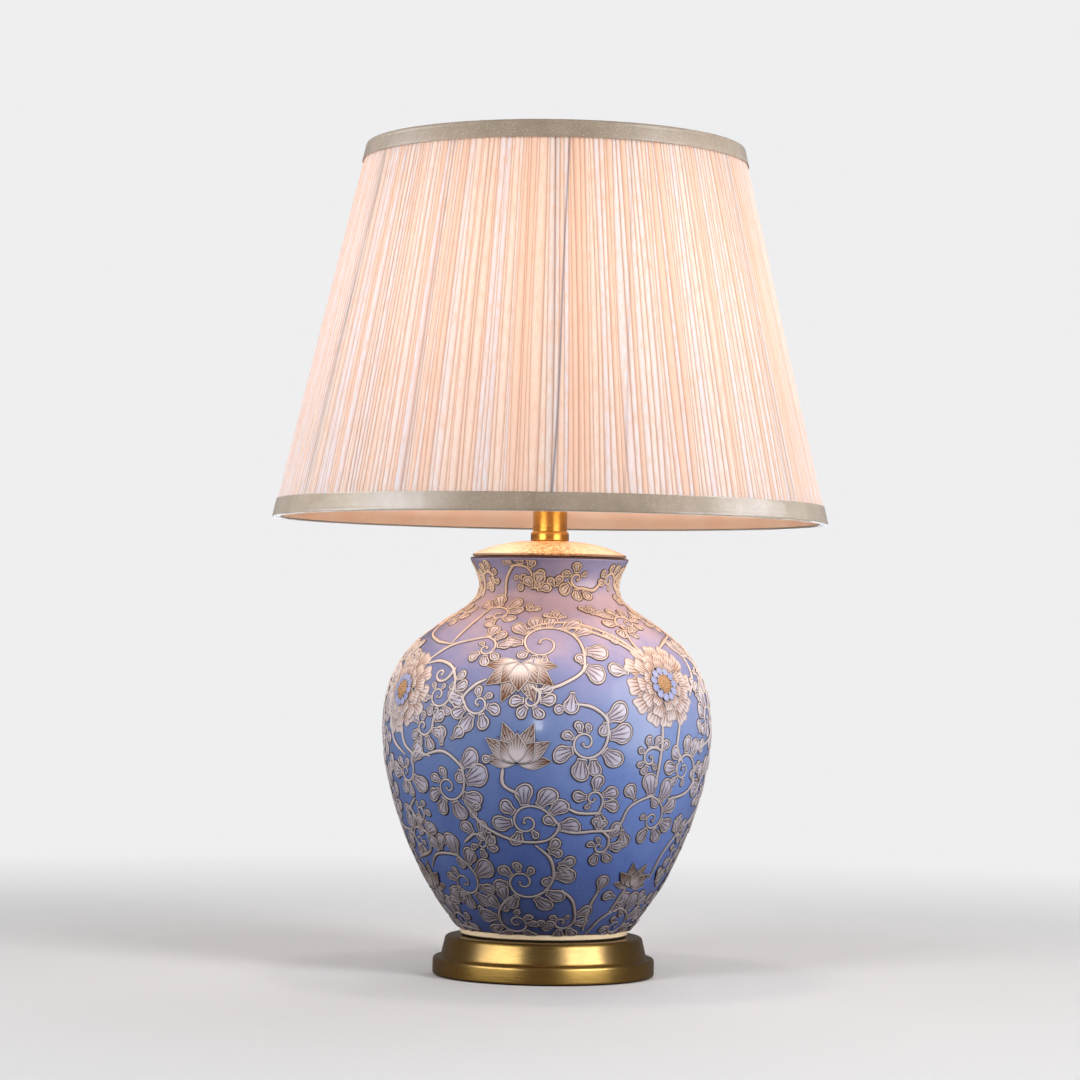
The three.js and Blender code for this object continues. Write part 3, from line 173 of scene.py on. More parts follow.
def even(line, spacing):
    """The same line with its points a given distance apart."""
    run = np.r_[0, np.cumsum(np.linalg.norm(np.diff(line, axis=0), axis=1))]
    marks = np.linspace(0, run[-1], max(3, int(run[-1] / spacing) + 1))
    return np.stack([np.interp(marks, run, axis) for axis in line.T], -1)


def smooth_line(knots, spacing):
    """A Catmull-Rom line through knots, as evenly spaced points."""
    knots = np.asarray(knots, float)
    padded = np.vstack([2 * knots[0] - knots[1], knots, 2 * knots[-1] - knots[-2]])
    t = np.linspace(0, 1, 12, endpoint=False)[:, None]
    runs = []
    for p, q, r, s in zip(padded, padded[1:], padded[2:], padded[3:]):
        cubic = (-p + 3 * q - 3 * r + s) * t ** 3 + (2 * p - 5 * q + 4 * r - s) * t ** 2 + (r - p) * t
        runs.append(q + cubic / 2)
    return even(np.vstack(runs + [knots[-1:]]), spacing)


def sweep(path, radius, across, sides=10, closed=False):
    """A round wire along a path that lies in the plane square to `across`."""
    path, across = np.asarray(path, float), np.array(across, float)
    along = np.roll(path, -1, 0) - np.roll(path, 1, 0) if closed else np.gradient(path, axis=0)
    along /= np.linalg.norm(along, axis=1)[:, None]
    side = np.cross(along, across)
    angle = np.arange(sides) * 2 * np.pi / sides
    ring = np.cos(angle)[None, :, None] * side[:, None] + np.sin(angle)[None, :, None] * across
    points = (path[:, None] + radius * ring).reshape(-1, 3)
    faces = flipped(grid(len(path), sides, closed, True))
    if not closed:
        end = len(points)
        faces += [list(range(sides)), list(range(end - 1, end - sides - 1, -1))]
    return points, faces


def hoop(radius, z, wire, sides=10, count=120):
    """A wire bent to a level circle round the axis."""
    angle = np.arange(count) * 2 * np.pi / count
    path = np.c_[radius * np.cos(angle), radius * np.sin(angle), np.full(count, z)]
    return sweep(path, wire, UP, sides, True)


def combine(*parts):
    """Several (points, faces) as one."""
    points, faces, count = [], [], 0
    for some, those in parts:
        points.append(some)
        faces += [[k + count for k in face] for face in those]
        count += len(some)
    return np.vstack(points), faces


def about_axis(points, degrees):
    """Points turned round the lamp's axis."""
    a = math.radians(degrees)
    spin = np.array([[math.cos(a), -math.sin(a), 0], [math.sin(a), math.cos(a), 0], [0, 0, 1]])
    return points @ spin.T


def polar(radius, angle, z):
    """Points by distance from the axis, angle from the front in radians, and height."""
    radius, angle, z = np.broadcast_arrays(radius, angle, z)
    return np.stack([radius * np.sin(angle), -radius * np.cos(angle), z], -1)


# ---- materials

finish = {}  # every material, by name


def colour(code):
    """Linear colour of a six-digit sRGB code."""
    parts = [int(code[i:i + 2], 16) / 255 for i in (0, 2, 4)]
    return (*[c / 12.92 if c < 0.04045 else ((c + 0.055) / 1.055) ** 2.4 for c in parts], 1.0)


class Nodes:
    """Builds the nodes of a material or of the world. Colours are six-digit sRGB codes."""

    def __init__(self, owner):
        owner.use_nodes = True
        self.tree = owner.node_tree

    def set(self, node, **sockets):
        """Sets or links inputs of a node, by name or, as i0, i1 and so on, by place."""
        for key, value in sockets.items():
            socket = node.inputs[int(key[1:]) if key[1:].isdigit() else key.replace("_", " ")]
            if isinstance(value, bpy.types.NodeSocket):
                self.tree.links.new(value, socket)
            else:
                socket.default_value = colour(value) if isinstance(value, str) else value
        return node

    def node(self, kind, settings=None, **sockets):
        made = self.tree.nodes.new("ShaderNode" + kind)
        for key, value in (settings or {}).items():
            setattr(made, key, value)
        return self.set(made, **sockets)

    def math(self, operation, a, b=0.0):
        return self.node("Math", {"operation": operation}, i0=a, i1=b).outputs[0]

    def add(self, a, b):
        return self.math("ADD", a, b)

    def times(self, a, b):
        return self.math("MULTIPLY", a, b)

    def mix(self, share, a, b, blend="MIX"):
        settings = {"data_type": "RGBA", "blend_type": blend}
        return self.node("Mix", settings, i0=share, i6=a, i7=b).outputs[2]

    def layers(self, shade, *over):
        """A colour with others laid over it, given as (share, colour)."""
        for share, other in over:
            shade = self.mix(share, shade, other)
        return shade

    def ramp(self, value, *stops):
        """Colours at places from 0 to 1."""
        made = self.node("ValToRGB", Fac=value)
        elements = made.color_ramp.elements
        for i, (place, shade) in enumerate(stops):
            element = elements[i] if i < len(elements) else elements.new(place)
            element.position = place
            element.color = colour(shade)
        return made.outputs[0]

    def band(self, value, start, end, level=1.0):
        """0 before start, rising to level at end."""
        return self.node("MapRange", Value=value, From_Min=start, From_Max=end, To_Max=level).outputs[0]

    def place(self, stretch=(1, 1, 1)):
        """Position on the resting lamp in metres, stretched."""
        where = self.node("TexCoord").outputs["Object"]
        return self.node("Mapping", Vector=where, Scale=stretch).outputs[0]

    def height(self, bottom, top, level=1.0):
        """0 at one height of the resting lamp, in mm, rising to level at another."""
        return self.band(self.split(self.place())[2], bottom * MM, top * MM, level)

    def noise(self, scale, detail=3.0, roughness=0.5, stretch=(1, 1, 1)):
        sockets = dict(Vector=self.place(stretch), Scale=scale, Detail=detail, Roughness=roughness)
        return self.node("TexNoise", **sockets).outputs[0]

    def mark(self, name):
        """A value kept at each point of the mesh: (as a number, as a vector)."""
        made = self.node("Attribute", {"attribute_name": name, "attribute_type": "GEOMETRY"})
        return made.outputs["Fac"], made.outputs["Vector"]

    def split(self, vector):
        return self.node("SeparateXYZ", Vector=vector).outputs


class Surface(Nodes):
    """Builds one procedural material round a Principled shader."""

    def __init__(self, name, **sockets):
        finish[name] = bpy.data.materials.new(name)
        super().__init__(finish[name])
        self.shader = self.tree.nodes["Principled BSDF"]
        self.output = self.tree.nodes["Material Output"]
        self.paint(**sockets)

    def paint(self, **sockets):
        self.set(self.shader, **sockets)

    def bump(self, height, strength, distance):
        made = self.node("Bump", Height=height, Strength=strength, Distance=distance)
        self.paint(Normal=made.outputs[0])

    def join(self, share, first, second):
        """Makes the surface a share of the second shader over the first."""
        both = self.node("MixShader", Fac=share, i1=first.outputs[0], i2=second.outputs[0])
        self.set(self.output, Surface=both.outputs[0])
        return both

    def through(self, shade, share):
        """Lets part of the light pass through, as thin cloth does."""
        return self.join(share, self.shader, self.node("BsdfTranslucent", Color=shade))


def metal(name, base, dark, roughness, metallic=1.0, direction=(1, 1, 1), anisotropic=0.0, lacquer=0.0):
    """Metal of a faint uneven tone. direction draws its grain out to lathe lines round the axis."""
    s = Surface(name, Metallic=metallic, Roughness=roughness, Coat_Weight=lacquer, Coat_Roughness=0.3)
    s.paint(Anisotropic=anisotropic, Anisotropic_Rotation=0.25)
    lines = s.noise(60, 4, 0.6, direction)
    cloud = s.noise(28)
    uneven, drawn = s.band(cloud, 0.3, 0.75), s.band(lines, 0.45, 0.75, 0.2)
    s.paint(Base_Color=s.layers(base, (uneven, dark), (drawn, dark)))
    s.paint(Roughness=s.band(s.add(lines, s.times(cloud, 0.5)), 0.2, 1.2, roughness * 1.5))
    if anisotropic:
        s.paint(Tangent=s.node("Tangent", {"direction_type": "RADIAL", "axis": "Z"}).outputs[0])
    s.bump(lines, 0.05, 0.0001)


def matte(name, base, other, roughness, scale, bump, **sockets):
    """A mottled tone and a grain, for felt, rubber, board, iron and plain glaze."""
    s = Surface(name, Roughness=roughness, **sockets)
    grain = s.noise(scale, 5, 0.65)
    s.paint(Base_Color=s.mix(s.band(grain, 0.35, 0.7), base, other))
    s.bump(grain, 0.4, bump)


def blue_glaze():
    """Thin glossy glaze: blue, painted deeper and darker low down as shade, and painted lavender with a flush
    of rose above as the bulb's warm light on the shoulder.
    """
    s = Surface("blue_glaze", Roughness=0.2, Coat_Weight=0.3, Coat_Roughness=0.06, Specular_IOR_Level=0.4)
    level = s.height(VASE_BOTTOM, VASE_TOP)
    cloud = s.math("SUBTRACT", s.noise(26, 5, 0.55, (1, 1, 0.7)), 0.5)
    # painted shade in the low stops; painted warm light of the bulb in the lavender and rose stops near the
    # top
    shade = s.ramp(
        s.add(level, s.times(cloud, 0.35)),
        (0.0, "3A4877"), (0.2, "435792"), (0.4, "586DA4"), (0.55, "687BAA"),
        (0.74, "8889B0"), (0.88, "AE9AA8"), (1.0, "928FB6"),
    )
    # a random darker mottle of the glaze
    mottle_and_painted_light = s.band(s.noise(120, 4, 0.6), 0.55, 0.8, 0.25)
    speck = s.band(s.noise(900, 2), 0.66, 0.74, 0.35)
    s.paint(Base_Color=s.layers(shade, (mottle_and_painted_light, "465A94"), (speck, "8B99C6")))
    s.bump(s.noise(75, 2), 0.25, 0.0012)


def enamel(name, rim, fill, heart, line, veins=0.0, blush=(0.05, 0.75), strokes=(0.9, 0.5)):
    """Raised slip: brown outline, bright bead, then a fill with brown strokes fanning from its base. Shares
    of the way to the tip: blush is where heart turns to fill, strokes where they begin and are fully dark.
    All of it is painted darker towards the foot of the jar, as shade, and warmer near the neck, as the bulb's
    light."""
    s = Surface(name, Roughness=0.3, Coat_Weight=0.35, Coat_Roughness=0.12)
    edge, across, along = s.split(s.mark("mark")[1])
    wobble = s.times(s.math("SUBTRACT", s.noise(500, 2), 0.5), 0.4)
    edge = s.add(edge, wobble)
    body = s.layers(heart, (s.band(along, *blush), fill), (s.times(s.mark("tint")[0], 0.35), rim))
    if veins:
        fan = s.math("DIVIDE", across, s.add(s.times(along, 0.75), 0.2))
        fan = s.add(s.times(fan, veins), s.times(wobble, 0.4))
        stroke = s.math("ABSOLUTE", s.math("SUBTRACT", s.math("FRACT", s.add(fan, 20.5)), 0.5))
        faded = s.times(s.band(stroke, 0.2, 0.11), s.band(along, *strokes, 0.85))
        body = s.mix(faded, body, line)
    inner = s.times(s.band(edge, 1.7, 1.85), s.band(edge, 2.5, 2.3, 0.9))
    outer = s.band(edge, 0.85, 0.7, 0.95)
    shade = s.layers(rim, (s.band(edge, 1.8, 1.9), body), (inner, line), (outer, line))
    # painted light: darker and greyer towards the foot as shade, warm near the neck as the bulb's light
    mottle_and_painted_light = s.ramp(
        s.height(VASE_BOTTOM, VASE_TOP),
        (0.0, "8E8C9C"), (0.2, "98969F"), (0.4, "B8B8C8"), (0.6, "E0E0EE"),
        (0.7, "F8F4F8"), (0.82, "ECDCD2"), (1.0, "FFF0DC"),
    )
    s.paint(Base_Color=s.mix(1.0, shade, mottle_and_painted_light, "MULTIPLY"))
    s.bump(s.noise(400), 0.15, 0.0004)


def crackled_cream():
    """Cream glaze, mottled; in a strip at the front and back of the neck, a gold-brown crackle and an amber
    tint are painted as the reflection of the brass neck.
    """
    s = Surface("cream_glaze", Roughness=0.26, Coat_Weight=0.35, Coat_Roughness=0.08)
    where = s.place()
    drift = s.node("TexNoise", Vector=where, Scale=70.0, Detail=2.0).outputs[1]
    shift = s.node("VectorMath", {"operation": "SCALE"}, i0=drift, Scale=0.01).outputs[0]
    bent = s.node("VectorMath", {"operation": "ADD"}, i0=where, i1=shift).outputs[0]
    cells, fine = (
        s.node("TexVoronoi", {"feature": "DISTANCE_TO_EDGE"}, Vector=bent, Scale=scale).outputs[0]
        for scale in (210.0, 520.0)
    )
    # near marks the strip of the painted reflection of the brass neck, where the crackle and the amber tint
    # go
    out = s.math("ABSOLUTE", s.split(where)[0])
    near = s.band(s.add(out, s.times(s.noise(45), 0.03)), 0.046, 0.026)
    s.paint(Base_Color=s.layers(
        "F4E0CC",
        (s.band(s.noise(60, 4), 0.4, 0.7), "ECD0B0"),
        (s.times(near, 0.4), "E6B878"),
        (s.times(near, s.band(fine, 0.07, 0.01, 0.7)), "C48C44"),
        (s.times(near, s.band(cells, 0.12, 0.03, 0.8)), "A8722F"),
    ))
    s.bump(s.times(near, s.band(cells, 0.0, 0.2)), 0.4, 0.0005)


def pleated_cloth():
    """Knife pleats, each its own tint, with painted light: pale crests as lit, tan valleys and dark deepest
    folds as shade, a few dark lines as the shadows of seams and ribs seen through the lit cloth, and a
    painted glow.
    """
    s = Surface("pleated_cloth", Roughness=0.75, Sheen_Weight=0.15, Sheen_Roughness=0.5)
    crest = s.mark("crest")[0]
    streak = s.noise(420, 3, 0.6, (1, 1, 0.02))
    body = s.ramp(s.mark("tint")[0], (0.0, "E4C2AA"), (0.35, "E5D2C2"), (0.65, "E4DAD2"), (1.0, "DAD7DB"))
    # painted shade: tan valleys, dark lines in the deepest folds, and the shadow lines of seams and ribs
    shade = s.layers(
        body,
        (s.band(streak, 0.46, 0.66, 0.55), "E0B896"),
        (s.band(crest, 0.86, 0.3, 0.75), "CFA486"),
        (s.band(crest, 0.3, 0.0, 0.75), "8F7A70"),
        (s.mark("seam_shadow")[0], "77727C"),
    )
    # painted glow: emission that stands in for the lamp's light through the cloth, strongest at the hem
    glow = s.height(SHADE_TOP, SHADE_BOTTOM, 0.2)
    s.paint(Base_Color=shade, Emission_Color=s.mix(0.5, shade, "E8EEFF"), Emission_Strength=glow)
    s.bump(s.noise(2500, 2, 0.5, (1, 1, 0.3)), 0.2, 0.0002)
    s.through(s.mix(0.3, shade, "D2DAEE"), 0.43)


def lining_cloth():
    """Smooth thin cloth. Half of the lamp's light passes straight between its threads."""
    s = Surface("lining_cloth", Roughness=0.7, Sheen_Weight=0.1)
    threads = s.noise(1600, 2, 0.5, (1, 1, 0.15))
    other, cloud = "FBDCC2", s.band(s.noise(35, 4), 0.35, 0.7)
    shade = s.layers("FFE9D6", (cloud, other), (s.band(threads, 0.5, 0.7, 0.2), other))
    s.paint(Base_Color=shade)
    s.bump(threads, 0.15, 0.0002)
    both = s.through(shade, 0.35)
    shadow = s.times(s.node("LightPath").outputs["Is Shadow Ray"], 0.5)
    s.join(shadow, both, s.node("BsdfTransparent", Color=(1.0, 0.97, 0.9, 1)))


def satin_tape():
    """Bias-cut satin: warm grey with fine threads running slantwise."""
    s = Surface("satin_tape", Roughness=0.38, Sheen_Weight=0.9, Sheen_Roughness=0.3)
    around, up, _ = s.split(s.mark("wrap")[1])
    threads = s.math("SINE", s.times(s.add(s.times(around, 1.15), up), 4.2))
    shade = s.layers(
        "8E7E6C",
        (s.band(s.noise(30, 4, 0.6), 0.3, 0.7), "786857"),
        (s.band(threads, 0.2, 1.0, 0.3), "64574A"),
        (s.band(s.noise(1400, 2), 0.55, 0.75, 0.35), "E4DACC"),
    )
    s.paint(Base_Color=shade)
    s.bump(s.add(threads, s.times(s.noise(220), 1.5)), 0.3, 0.0002)
    s.through(shade, 0.12)


def frosted_glass():
    """White-coated glass, lit from inside."""
    s = Surface("frosted_glass", Roughness=0.45, Coat_Weight=0.3)
    shade = s.mix(s.band(s.noise(40), 0.3, 0.7), "FFF3E0", "FFE9CC")
    s.paint(Base_Color=shade, Emission_Color=shade, Emission_Strength=0.5)


BROWN, CREAM = "4E3323", "EFE5DC"
metal("satin_brass", "CD9A44", "AC7E30", 0.42, direction=(1, 1, 110), anisotropic=0.6, lacquer=0.7)
metal("bright_brass", "D8AE5E", "B98C40", 0.26, 0.85)
metal("steel", "B9BABD", "97989C", 0.32, 0.75)
matte("cast_iron", "3A3A3C", "262628", 0.7, 300, 0.0008, Metallic=0.6)
matte("felt", "35312E", "24211F", 0.95, 1500, 0.0006, Sheen_Weight=0.4)
matte("rubber", "2A2724", "1C1A18", 0.6, 600, 0.0002)
matte("fibreboard", "8C7350", "6E5838", 0.85, 700, 0.0004)
matte("phenolic", "2A211B", "1B1512", 0.32, 90, 0.0001)
matte("brown_line", "5E3D2A", "3E2A20", 0.3, 300, 0.0001)
matte("plain_cream", "DCCBB2", "CDB798", 0.3, 60, 0.0001, Coat_Weight=0.3)
matte("dots", "5A3A26", "46301F", 0.35, 300, 0.0001)
enamel("scrolls", CREAM, CREAM, CREAM, BROWN)
enamel("leaves", CREAM, "EAE7F2", "BFB4C0", BROWN, 1.4)
enamel("lotus", "FFF8EE", "88562C", "FFF2EA", BROWN, 2.4, (0.3, 0.85), (0.4, 0.65))
enamel("peony", CREAM, "F4E6DE", "B4815A", "6E4A32", 1.7, (0.1, 0.8))
enamel("florets", "D6D8EE", "9FAEDD", "8C9CD2", BROWN)
enamel("stamens", "D8B48A", "C69C70", "B98858", BROWN)
blue_glaze()
crackled_cream()
pleated_cloth()
lining_cloth()
satin_tape()
frosted_glass()
for node in frame["nodes"].values():
    worn = node.data.materials
    look = worn[0].name.split(".")[0] if worn else ""
    worn.clear()
    worn.append(finish.get(look, finish["steel"]))


# ---- the jar

FOOT_RADIUS, FOOT_BAND, FOOT_FLARE = 60.5, 3.6, 45.3
BELLY_RADIUS, BELLY_HEIGHT = 118.9, 149.0
SHOULDER_RADIUS, SHOULDER_HEIGHT, SHOULDER_SLOPE = 72.2, 227.8, 32.1
NECK_RADIUS, NECK_HEIGHT = 50.4, 253.5
LIP_RADIUS, LIP_ROUND, LIP_FLARE = 57.3, 2.4, 50.2
JAR_STEPS = 34  # along each of the four curves of the jar's side
JAR_SIDES = 192
TRIM_SIDES = 128


def heading(degrees):
    """The direction of a bearing: 0 to the right, 90 up."""
    return np.array([math.cos(math.radians(degrees)), math.sin(math.radians(degrees))])


def bend(start, leave, share0, end, arrive, share1):
    """A curve that leaves one way and arrives another, by shares of the distance between its ends."""
    a, b = np.array(start, float), np.array(end, float)
    distance = np.linalg.norm(b - a)
    return bezier(a, a + leave * share0 * distance, b - arrive * share1 * distance, b, JAR_STEPS)


def jar_side():
    """The jar's side from the foot band to the lip, as (radius, height)."""
    foot = (FOOT_RADIUS, VASE_BOTTOM + FOOT_BAND)
    belly = (BELLY_RADIUS, VASE_BOTTOM + BELLY_HEIGHT)
    shoulder = (SHOULDER_RADIUS, VASE_BOTTOM + SHOULDER_HEIGHT)
    neck = (NECK_RADIUS, VASE_BOTTOM + NECK_HEIGHT)
    lip = (LIP_RADIUS, VASE_TOP - LIP_ROUND)
    up, inward = heading(90), heading(180 - SHOULDER_SLOPE)
    runs = [
        bend(foot, heading(FOOT_FLARE), 0.3, belly, up, 0.28),
        bend(belly, up, 0.45, shoulder, inward, 0.37),
        bend(shoulder, inward, 0.65, neck, up, 0.3),
        bend(neck, up, 0.2, lip, heading(LIP_FLARE), 0.37),
    ]
    return np.vstack([runs[0]] + [run[1:] for run in runs[1:]])


side = jar_side()
climb = np.r_[0, np.cumsum(np.linalg.norm(np.diff(side, axis=0), axis=1))]
slope = np.gradient(side, axis=0)
outward = np.stack([slope[:, 1], -slope[:, 0]], -1) / np.linalg.norm(slope, axis=1)[:, None]


def on_jar(at, arc, rise, lift):
    """Points lifted off the jar: arc and rise are mm along its surface from a place, which is given as
    (degrees from the front, height)."""
    degrees, height = at
    s = np.clip(np.interp(height, side[:, 1], climb) + rise, 0.5, climb[-1] - 0.5)
    radius, z = (np.interp(s, climb, column) for column in side.T)
    away, tilt = (np.interp(s, climb, column) for column in outward.T)
    return polar(radius + lift * away, math.radians(degrees) + arc / radius, z + lift * tilt)


def local(at, places):
    """Places (degrees from the front, height) as mm offsets from `at`, along the jar's surface."""
    places = np.asarray(places, float)
    s = np.interp(places[:, 1], side[:, 1], climb)
    radius = np.interp(s, climb, side[:, 0])
    rise = s - np.interp(at[1], side[:, 1], climb)
    return np.stack([np.radians(places[:, 0] - at[0]) * radius, rise], -1)


class Relief:
    """Collects raised patches of slip on the jar, to be made as one piece."""

    every = []

    def __init__(self, name, look):
        self.name, self.look = name, look
        self.parts, self.marks, self.tints = [], [], []
        self.every.append(self)

    def add(self, points, faces, marks):
        self.parts.append((points, flipped(faces)))
        self.marks.append(marks)
        self.tints.append(np.full(len(points), rng.random()))

    def make(self):
        marks = {"mark": np.vstack(self.marks), "tint": np.concatenate(self.tints)}
        piece(self.name, combine(*self.parts), self.look, marks=marks, crease=0)


names = ("scrolls", "leaves", "lotus", "peony", "florets", "stamens", "dots")
scrolls, leaves, lotus, peony, florets, stamens, dots = (Relief(name, name) for name in names)
back_leaves = Relief("back_leaves", "leaves")

# Cross-section of the slip from an edge inwards: distance and height
BEAD = np.array([
    [0, -0.2], [0.1, 0.1], [0.8, 0.16], [1.0, 0.5],
    [1.35, 0.75], [1.65, 0.5], [1.85, 0.26], [2.5, 0.24],
])
INSIDE = 3.0  # distance from the edge that stands for the whole middle of a leaf
DOME = 0.5  # how far the fill of a leaf swells above the slip line round it
WHOLE_BEAD = 6.5  # width of the narrowest leaf with a bead of full size
RIBBON_HALF = 1.85
RIBBON_TOP = (1.4, 0.92)
RIBBON = BEAD[:5]
LEAST_LEAF = 4


def leaf_outline(length, width, tip, foot):
    """Closed outline of a leaf growing up from the origin; its tip is round, pointed or ruffled, and foot is
    how wide it begins, as a share of its width."""
    if tip == "pointed":
        h = (1 - np.cos(np.pi * np.arange(1, 14) / 14)) / 2
        beyond = np.clip(2 * h - 1, 0, 1)
        narrowing = (1 - beyond ** 1.5) * (1 - 0.15 * beyond)
        half = np.where(h < 0.5, np.sin(np.pi * h) ** 0.6, narrowing) * width / 2
        right = np.stack([half, h * length], -1)
        return np.vstack([[[0, 0]], right, [[0, length]], right[::-1] * (-1, 1)])
    ruffled = tip == "ruffled"
    round_end = np.radians(np.linspace(118, -118, 23 if ruffled else 15))
    bulge = 1 - ruffled * 0.13 * np.cos(4.4 * round_end)
    end = np.stack([np.sin(round_end), np.cos(round_end)], -1) * bulge[:, None] * width / 2
    end[:, 1] += length - width / 2 * bulge.max()
    waist = foot + 0.5 * (1 - foot) * np.array([0, 0.3, 1.1])
    stalk = np.stack([end[0, 0] * waist, end[0, 1] * np.array([0, 0.4, 0.75])], -1)
    return np.vstack([stalk, end, stalk[::-1] * (-1, 1)])


def lobe(relief, at, base, bearing, length, width, tip="round", lift=0.0, curl=0.0, thin=1.0, foot=0.1):
    """A leaf or petal on the jar: base is where it begins, in mm from `at`, and bearing where it points. Its
    rings follow the bead in from the outline, then close over a domed fill."""
    outline = leaf_outline(length, width, tip, foot)
    centre = np.array([0, 0.56 * length])
    ray = outline - centre
    far = np.linalg.norm(ray, axis=1)
    fit = thin * min(1.0, width / WHOLE_BEAD)
    rings = [centre + ray * np.clip(1 - inset * fit / far, 0.02, 1)[:, None] for inset in BEAD[:, 0]]
    rings.append(centre + (rings[-1] - centre) * 0.5)
    flat = np.vstack([*rings, centre[None]])
    shoulder, crown = BEAD[-1, 1] + DOME * np.array([0.75, 1])
    edges = np.r_[np.repeat([*BEAD[:, 0], INSIDE], len(outline)), INSIDE]
    rises = np.r_[np.repeat([*BEAD[:, 1], shoulder], len(outline)), crown] * fit
    marks = np.stack([edges, flat[:, 0] / (width / 2), flat[:, 1] / length], -1)
    flat[:, 0] += curl * (flat[:, 1] / length) ** 2 * length
    a = math.radians(bearing - 90)
    spun = flat @ np.array([[math.cos(a), math.sin(a)], [-math.sin(a), math.cos(a)]])
    lift = lift + rng.uniform(0, 0.3) * thin
    points = on_jar(at, spun[:, 0] + base[0], spun[:, 1] + base[1], rises + lift)
    faces = grid(len(rings), len(outline), False, True)
    hub = len(flat) - 1
    tail = hub - len(outline)
    faces += [[tail + k, hub, tail + (k + 1) % len(outline)] for k in range(len(outline))]
    relief.add(points, faces, marks)


def blob(relief, at, offset, radius, lift, thin=0.6):
    """A round drop of slip."""
    base = (offset[0], offset[1] - radius)
    lobe(relief, at, base, 90, 2 * radius, 2 * radius, lift=lift, thin=thin, foot=0.4)


def leaf(at, base, bearing, length, width, **form):
    """A leaf of the front or the back. They are separate pieces, as one would be too heavy."""
    lobe(leaves if at[0] < 90 else back_leaves, at, base, bearing, length, width, **form)


def ribbon(at, line, taper=(1.0, 1.0), lift=0.0):
    """A bead of slip along a line of mm offsets from a place on the jar."""
    along = np.gradient(line, axis=0)
    along /= np.linalg.norm(along, axis=1)[:, None]
    normal = np.stack([-along[:, 1], along[:, 0]], -1)
    share = np.linspace(0, 1, len(line))
    thick = np.interp(share, [0, 0.12, 0.8, 1], [taper[0] * 0.5, taper[0], taper[1], taper[1] * 0.8])
    inset, height = np.vstack([RIBBON, RIBBON_TOP, RIBBON[::-1]]).T
    half = RIBBON_HALF - RIBBON[:, 0]
    across = np.r_[-half, 0, half[::-1]]
    spread = line[:, None] + normal[:, None] * across[None, :, None] * thick[:, None, None]
    rise = thick[:, None] * height + lift
    points = on_jar(at, spread[..., 0].ravel(), spread[..., 1].ravel(), rise.ravel())
    edge = np.tile(inset, len(line))
    marks = np.stack([edge, 0 * edge, 0 * edge + 0.5], -1)
    count = len(across)
    ends = [list(range(count))[::-1], list(range(len(points) - count, len(points)))]
    scrolls.add(points, grid(len(line), count) + ends, marks)


FAN_SPREAD = 46  # degrees between neighbouring leaves of a fan


def fan(at, bearing, length, count):
    """Leaves spread like the fingers of a hand."""
    for k in range(count):
        lean = k - (count - 1) / 2
        pointing = bearing + FAN_SPREAD * lean
        size = 1.2 * length * (1 - 0.14 * abs(lean)) * rng.uniform(0.93, 1.07)
        base = heading(pointing) * 0.14 * size
        leaf(at, base, pointing, size, 0.74 * size, lift=0.2 * k, curl=-0.1 * lean, foot=0.3)


# Leaf sizes along a scroll: up to how many degrees turned, and the size
LEAF_SIZES = ((95, 1.45), (240, 1.2), (290, 0.92), (340, 0.7))
LEAST_TURN, MOST_TURN = 330, 580  # degrees that a scroll winds
SMALL_SCROLL, LARGE_SCROLL = 14, 17  # radii at the start of the loop


def scroll_leaves(at, hand, length, total, loop):
    """Leaves along the outer side of a scroll, smaller towards its coil and at uneven distances."""
    turned = 4
    while turned < min(total - 40, LEAF_SIZES[-1][0]):
        bearing, far = loop(turned)
        share = next(share for until, share in LEAF_SIZES if turned < until)
        size = length * share * rng.uniform(0.85, 1.12)
        if size > LEAST_LEAF:
            pointing = bearing + hand * rng.uniform(-4, 26)
            leaf(at, heading(bearing) * (far + 0.4), pointing, size, 0.84 * size, curl=0.14 * hand, foot=0.55)
        skip = 1 if rng.random() < 0.8 else 1.5
        turned += math.degrees(0.86 * max(size, LEAST_LEAF) / (far + 0.45 * size)) * skip


def scroll(at, hand, length, stem):
    """A stem that runs through its places into a loop and closes to a tight coil round `at`, with leaves all
    along its outer side. hand is 1 where it winds anticlockwise; the loop starts at the stem's last place."""
    tail = local(at, stem)
    radius = np.linalg.norm(tail[-1])
    start = math.degrees(math.atan2(tail[-1, 1], tail[-1, 0]))
    total = float(np.clip(250 + 16 * radius, LEAST_TURN, MOST_TURN))
    coil = radius * (0.6 if radius < SMALL_SCROLL else 0.52)

    def loop(turned):
        """Bearing in degrees and distance from the middle, by degrees turned."""
        far = coil * (1 - turned / (total + 75)) + (radius - coil) * math.exp(-turned / 55)
        return start + hand * turned, far

    curl = [heading(bearing) * far for bearing, far in map(loop, np.arange(0, total, 20))]
    ribbon(at, smooth_line(np.vstack([tail[:-1], curl]), 1.1), (1.0, 0.66), 0.1)
    blob(scrolls, at, curl[-1], 1.5, 0.2, 1.3)
    scroll_leaves(at, hand, length, total, loop)
    if radius > LARGE_SCROLL:
        bearing, far = loop(6)
        base = heading(bearing) * (far - 0.4)
        leaf(at, base, bearing + 180 - hand * 30, 0.9 * length, 0.74 * length, foot=0.5)


# Petals of a lotus in pairs, behind and before its stamens: lean to either side, length, width
LOTUS_PETALS = (
    ((86, 0.53, 0.25), (22, 0.64, 0.29), (55, 0.6, 0.28)),
    ((40, 0.42, 0.3), (0, 0.44, 0.3)),
)
LOTUS_DOTS, DOT_SPREAD = 9, 13  # how many, degrees between neighbours
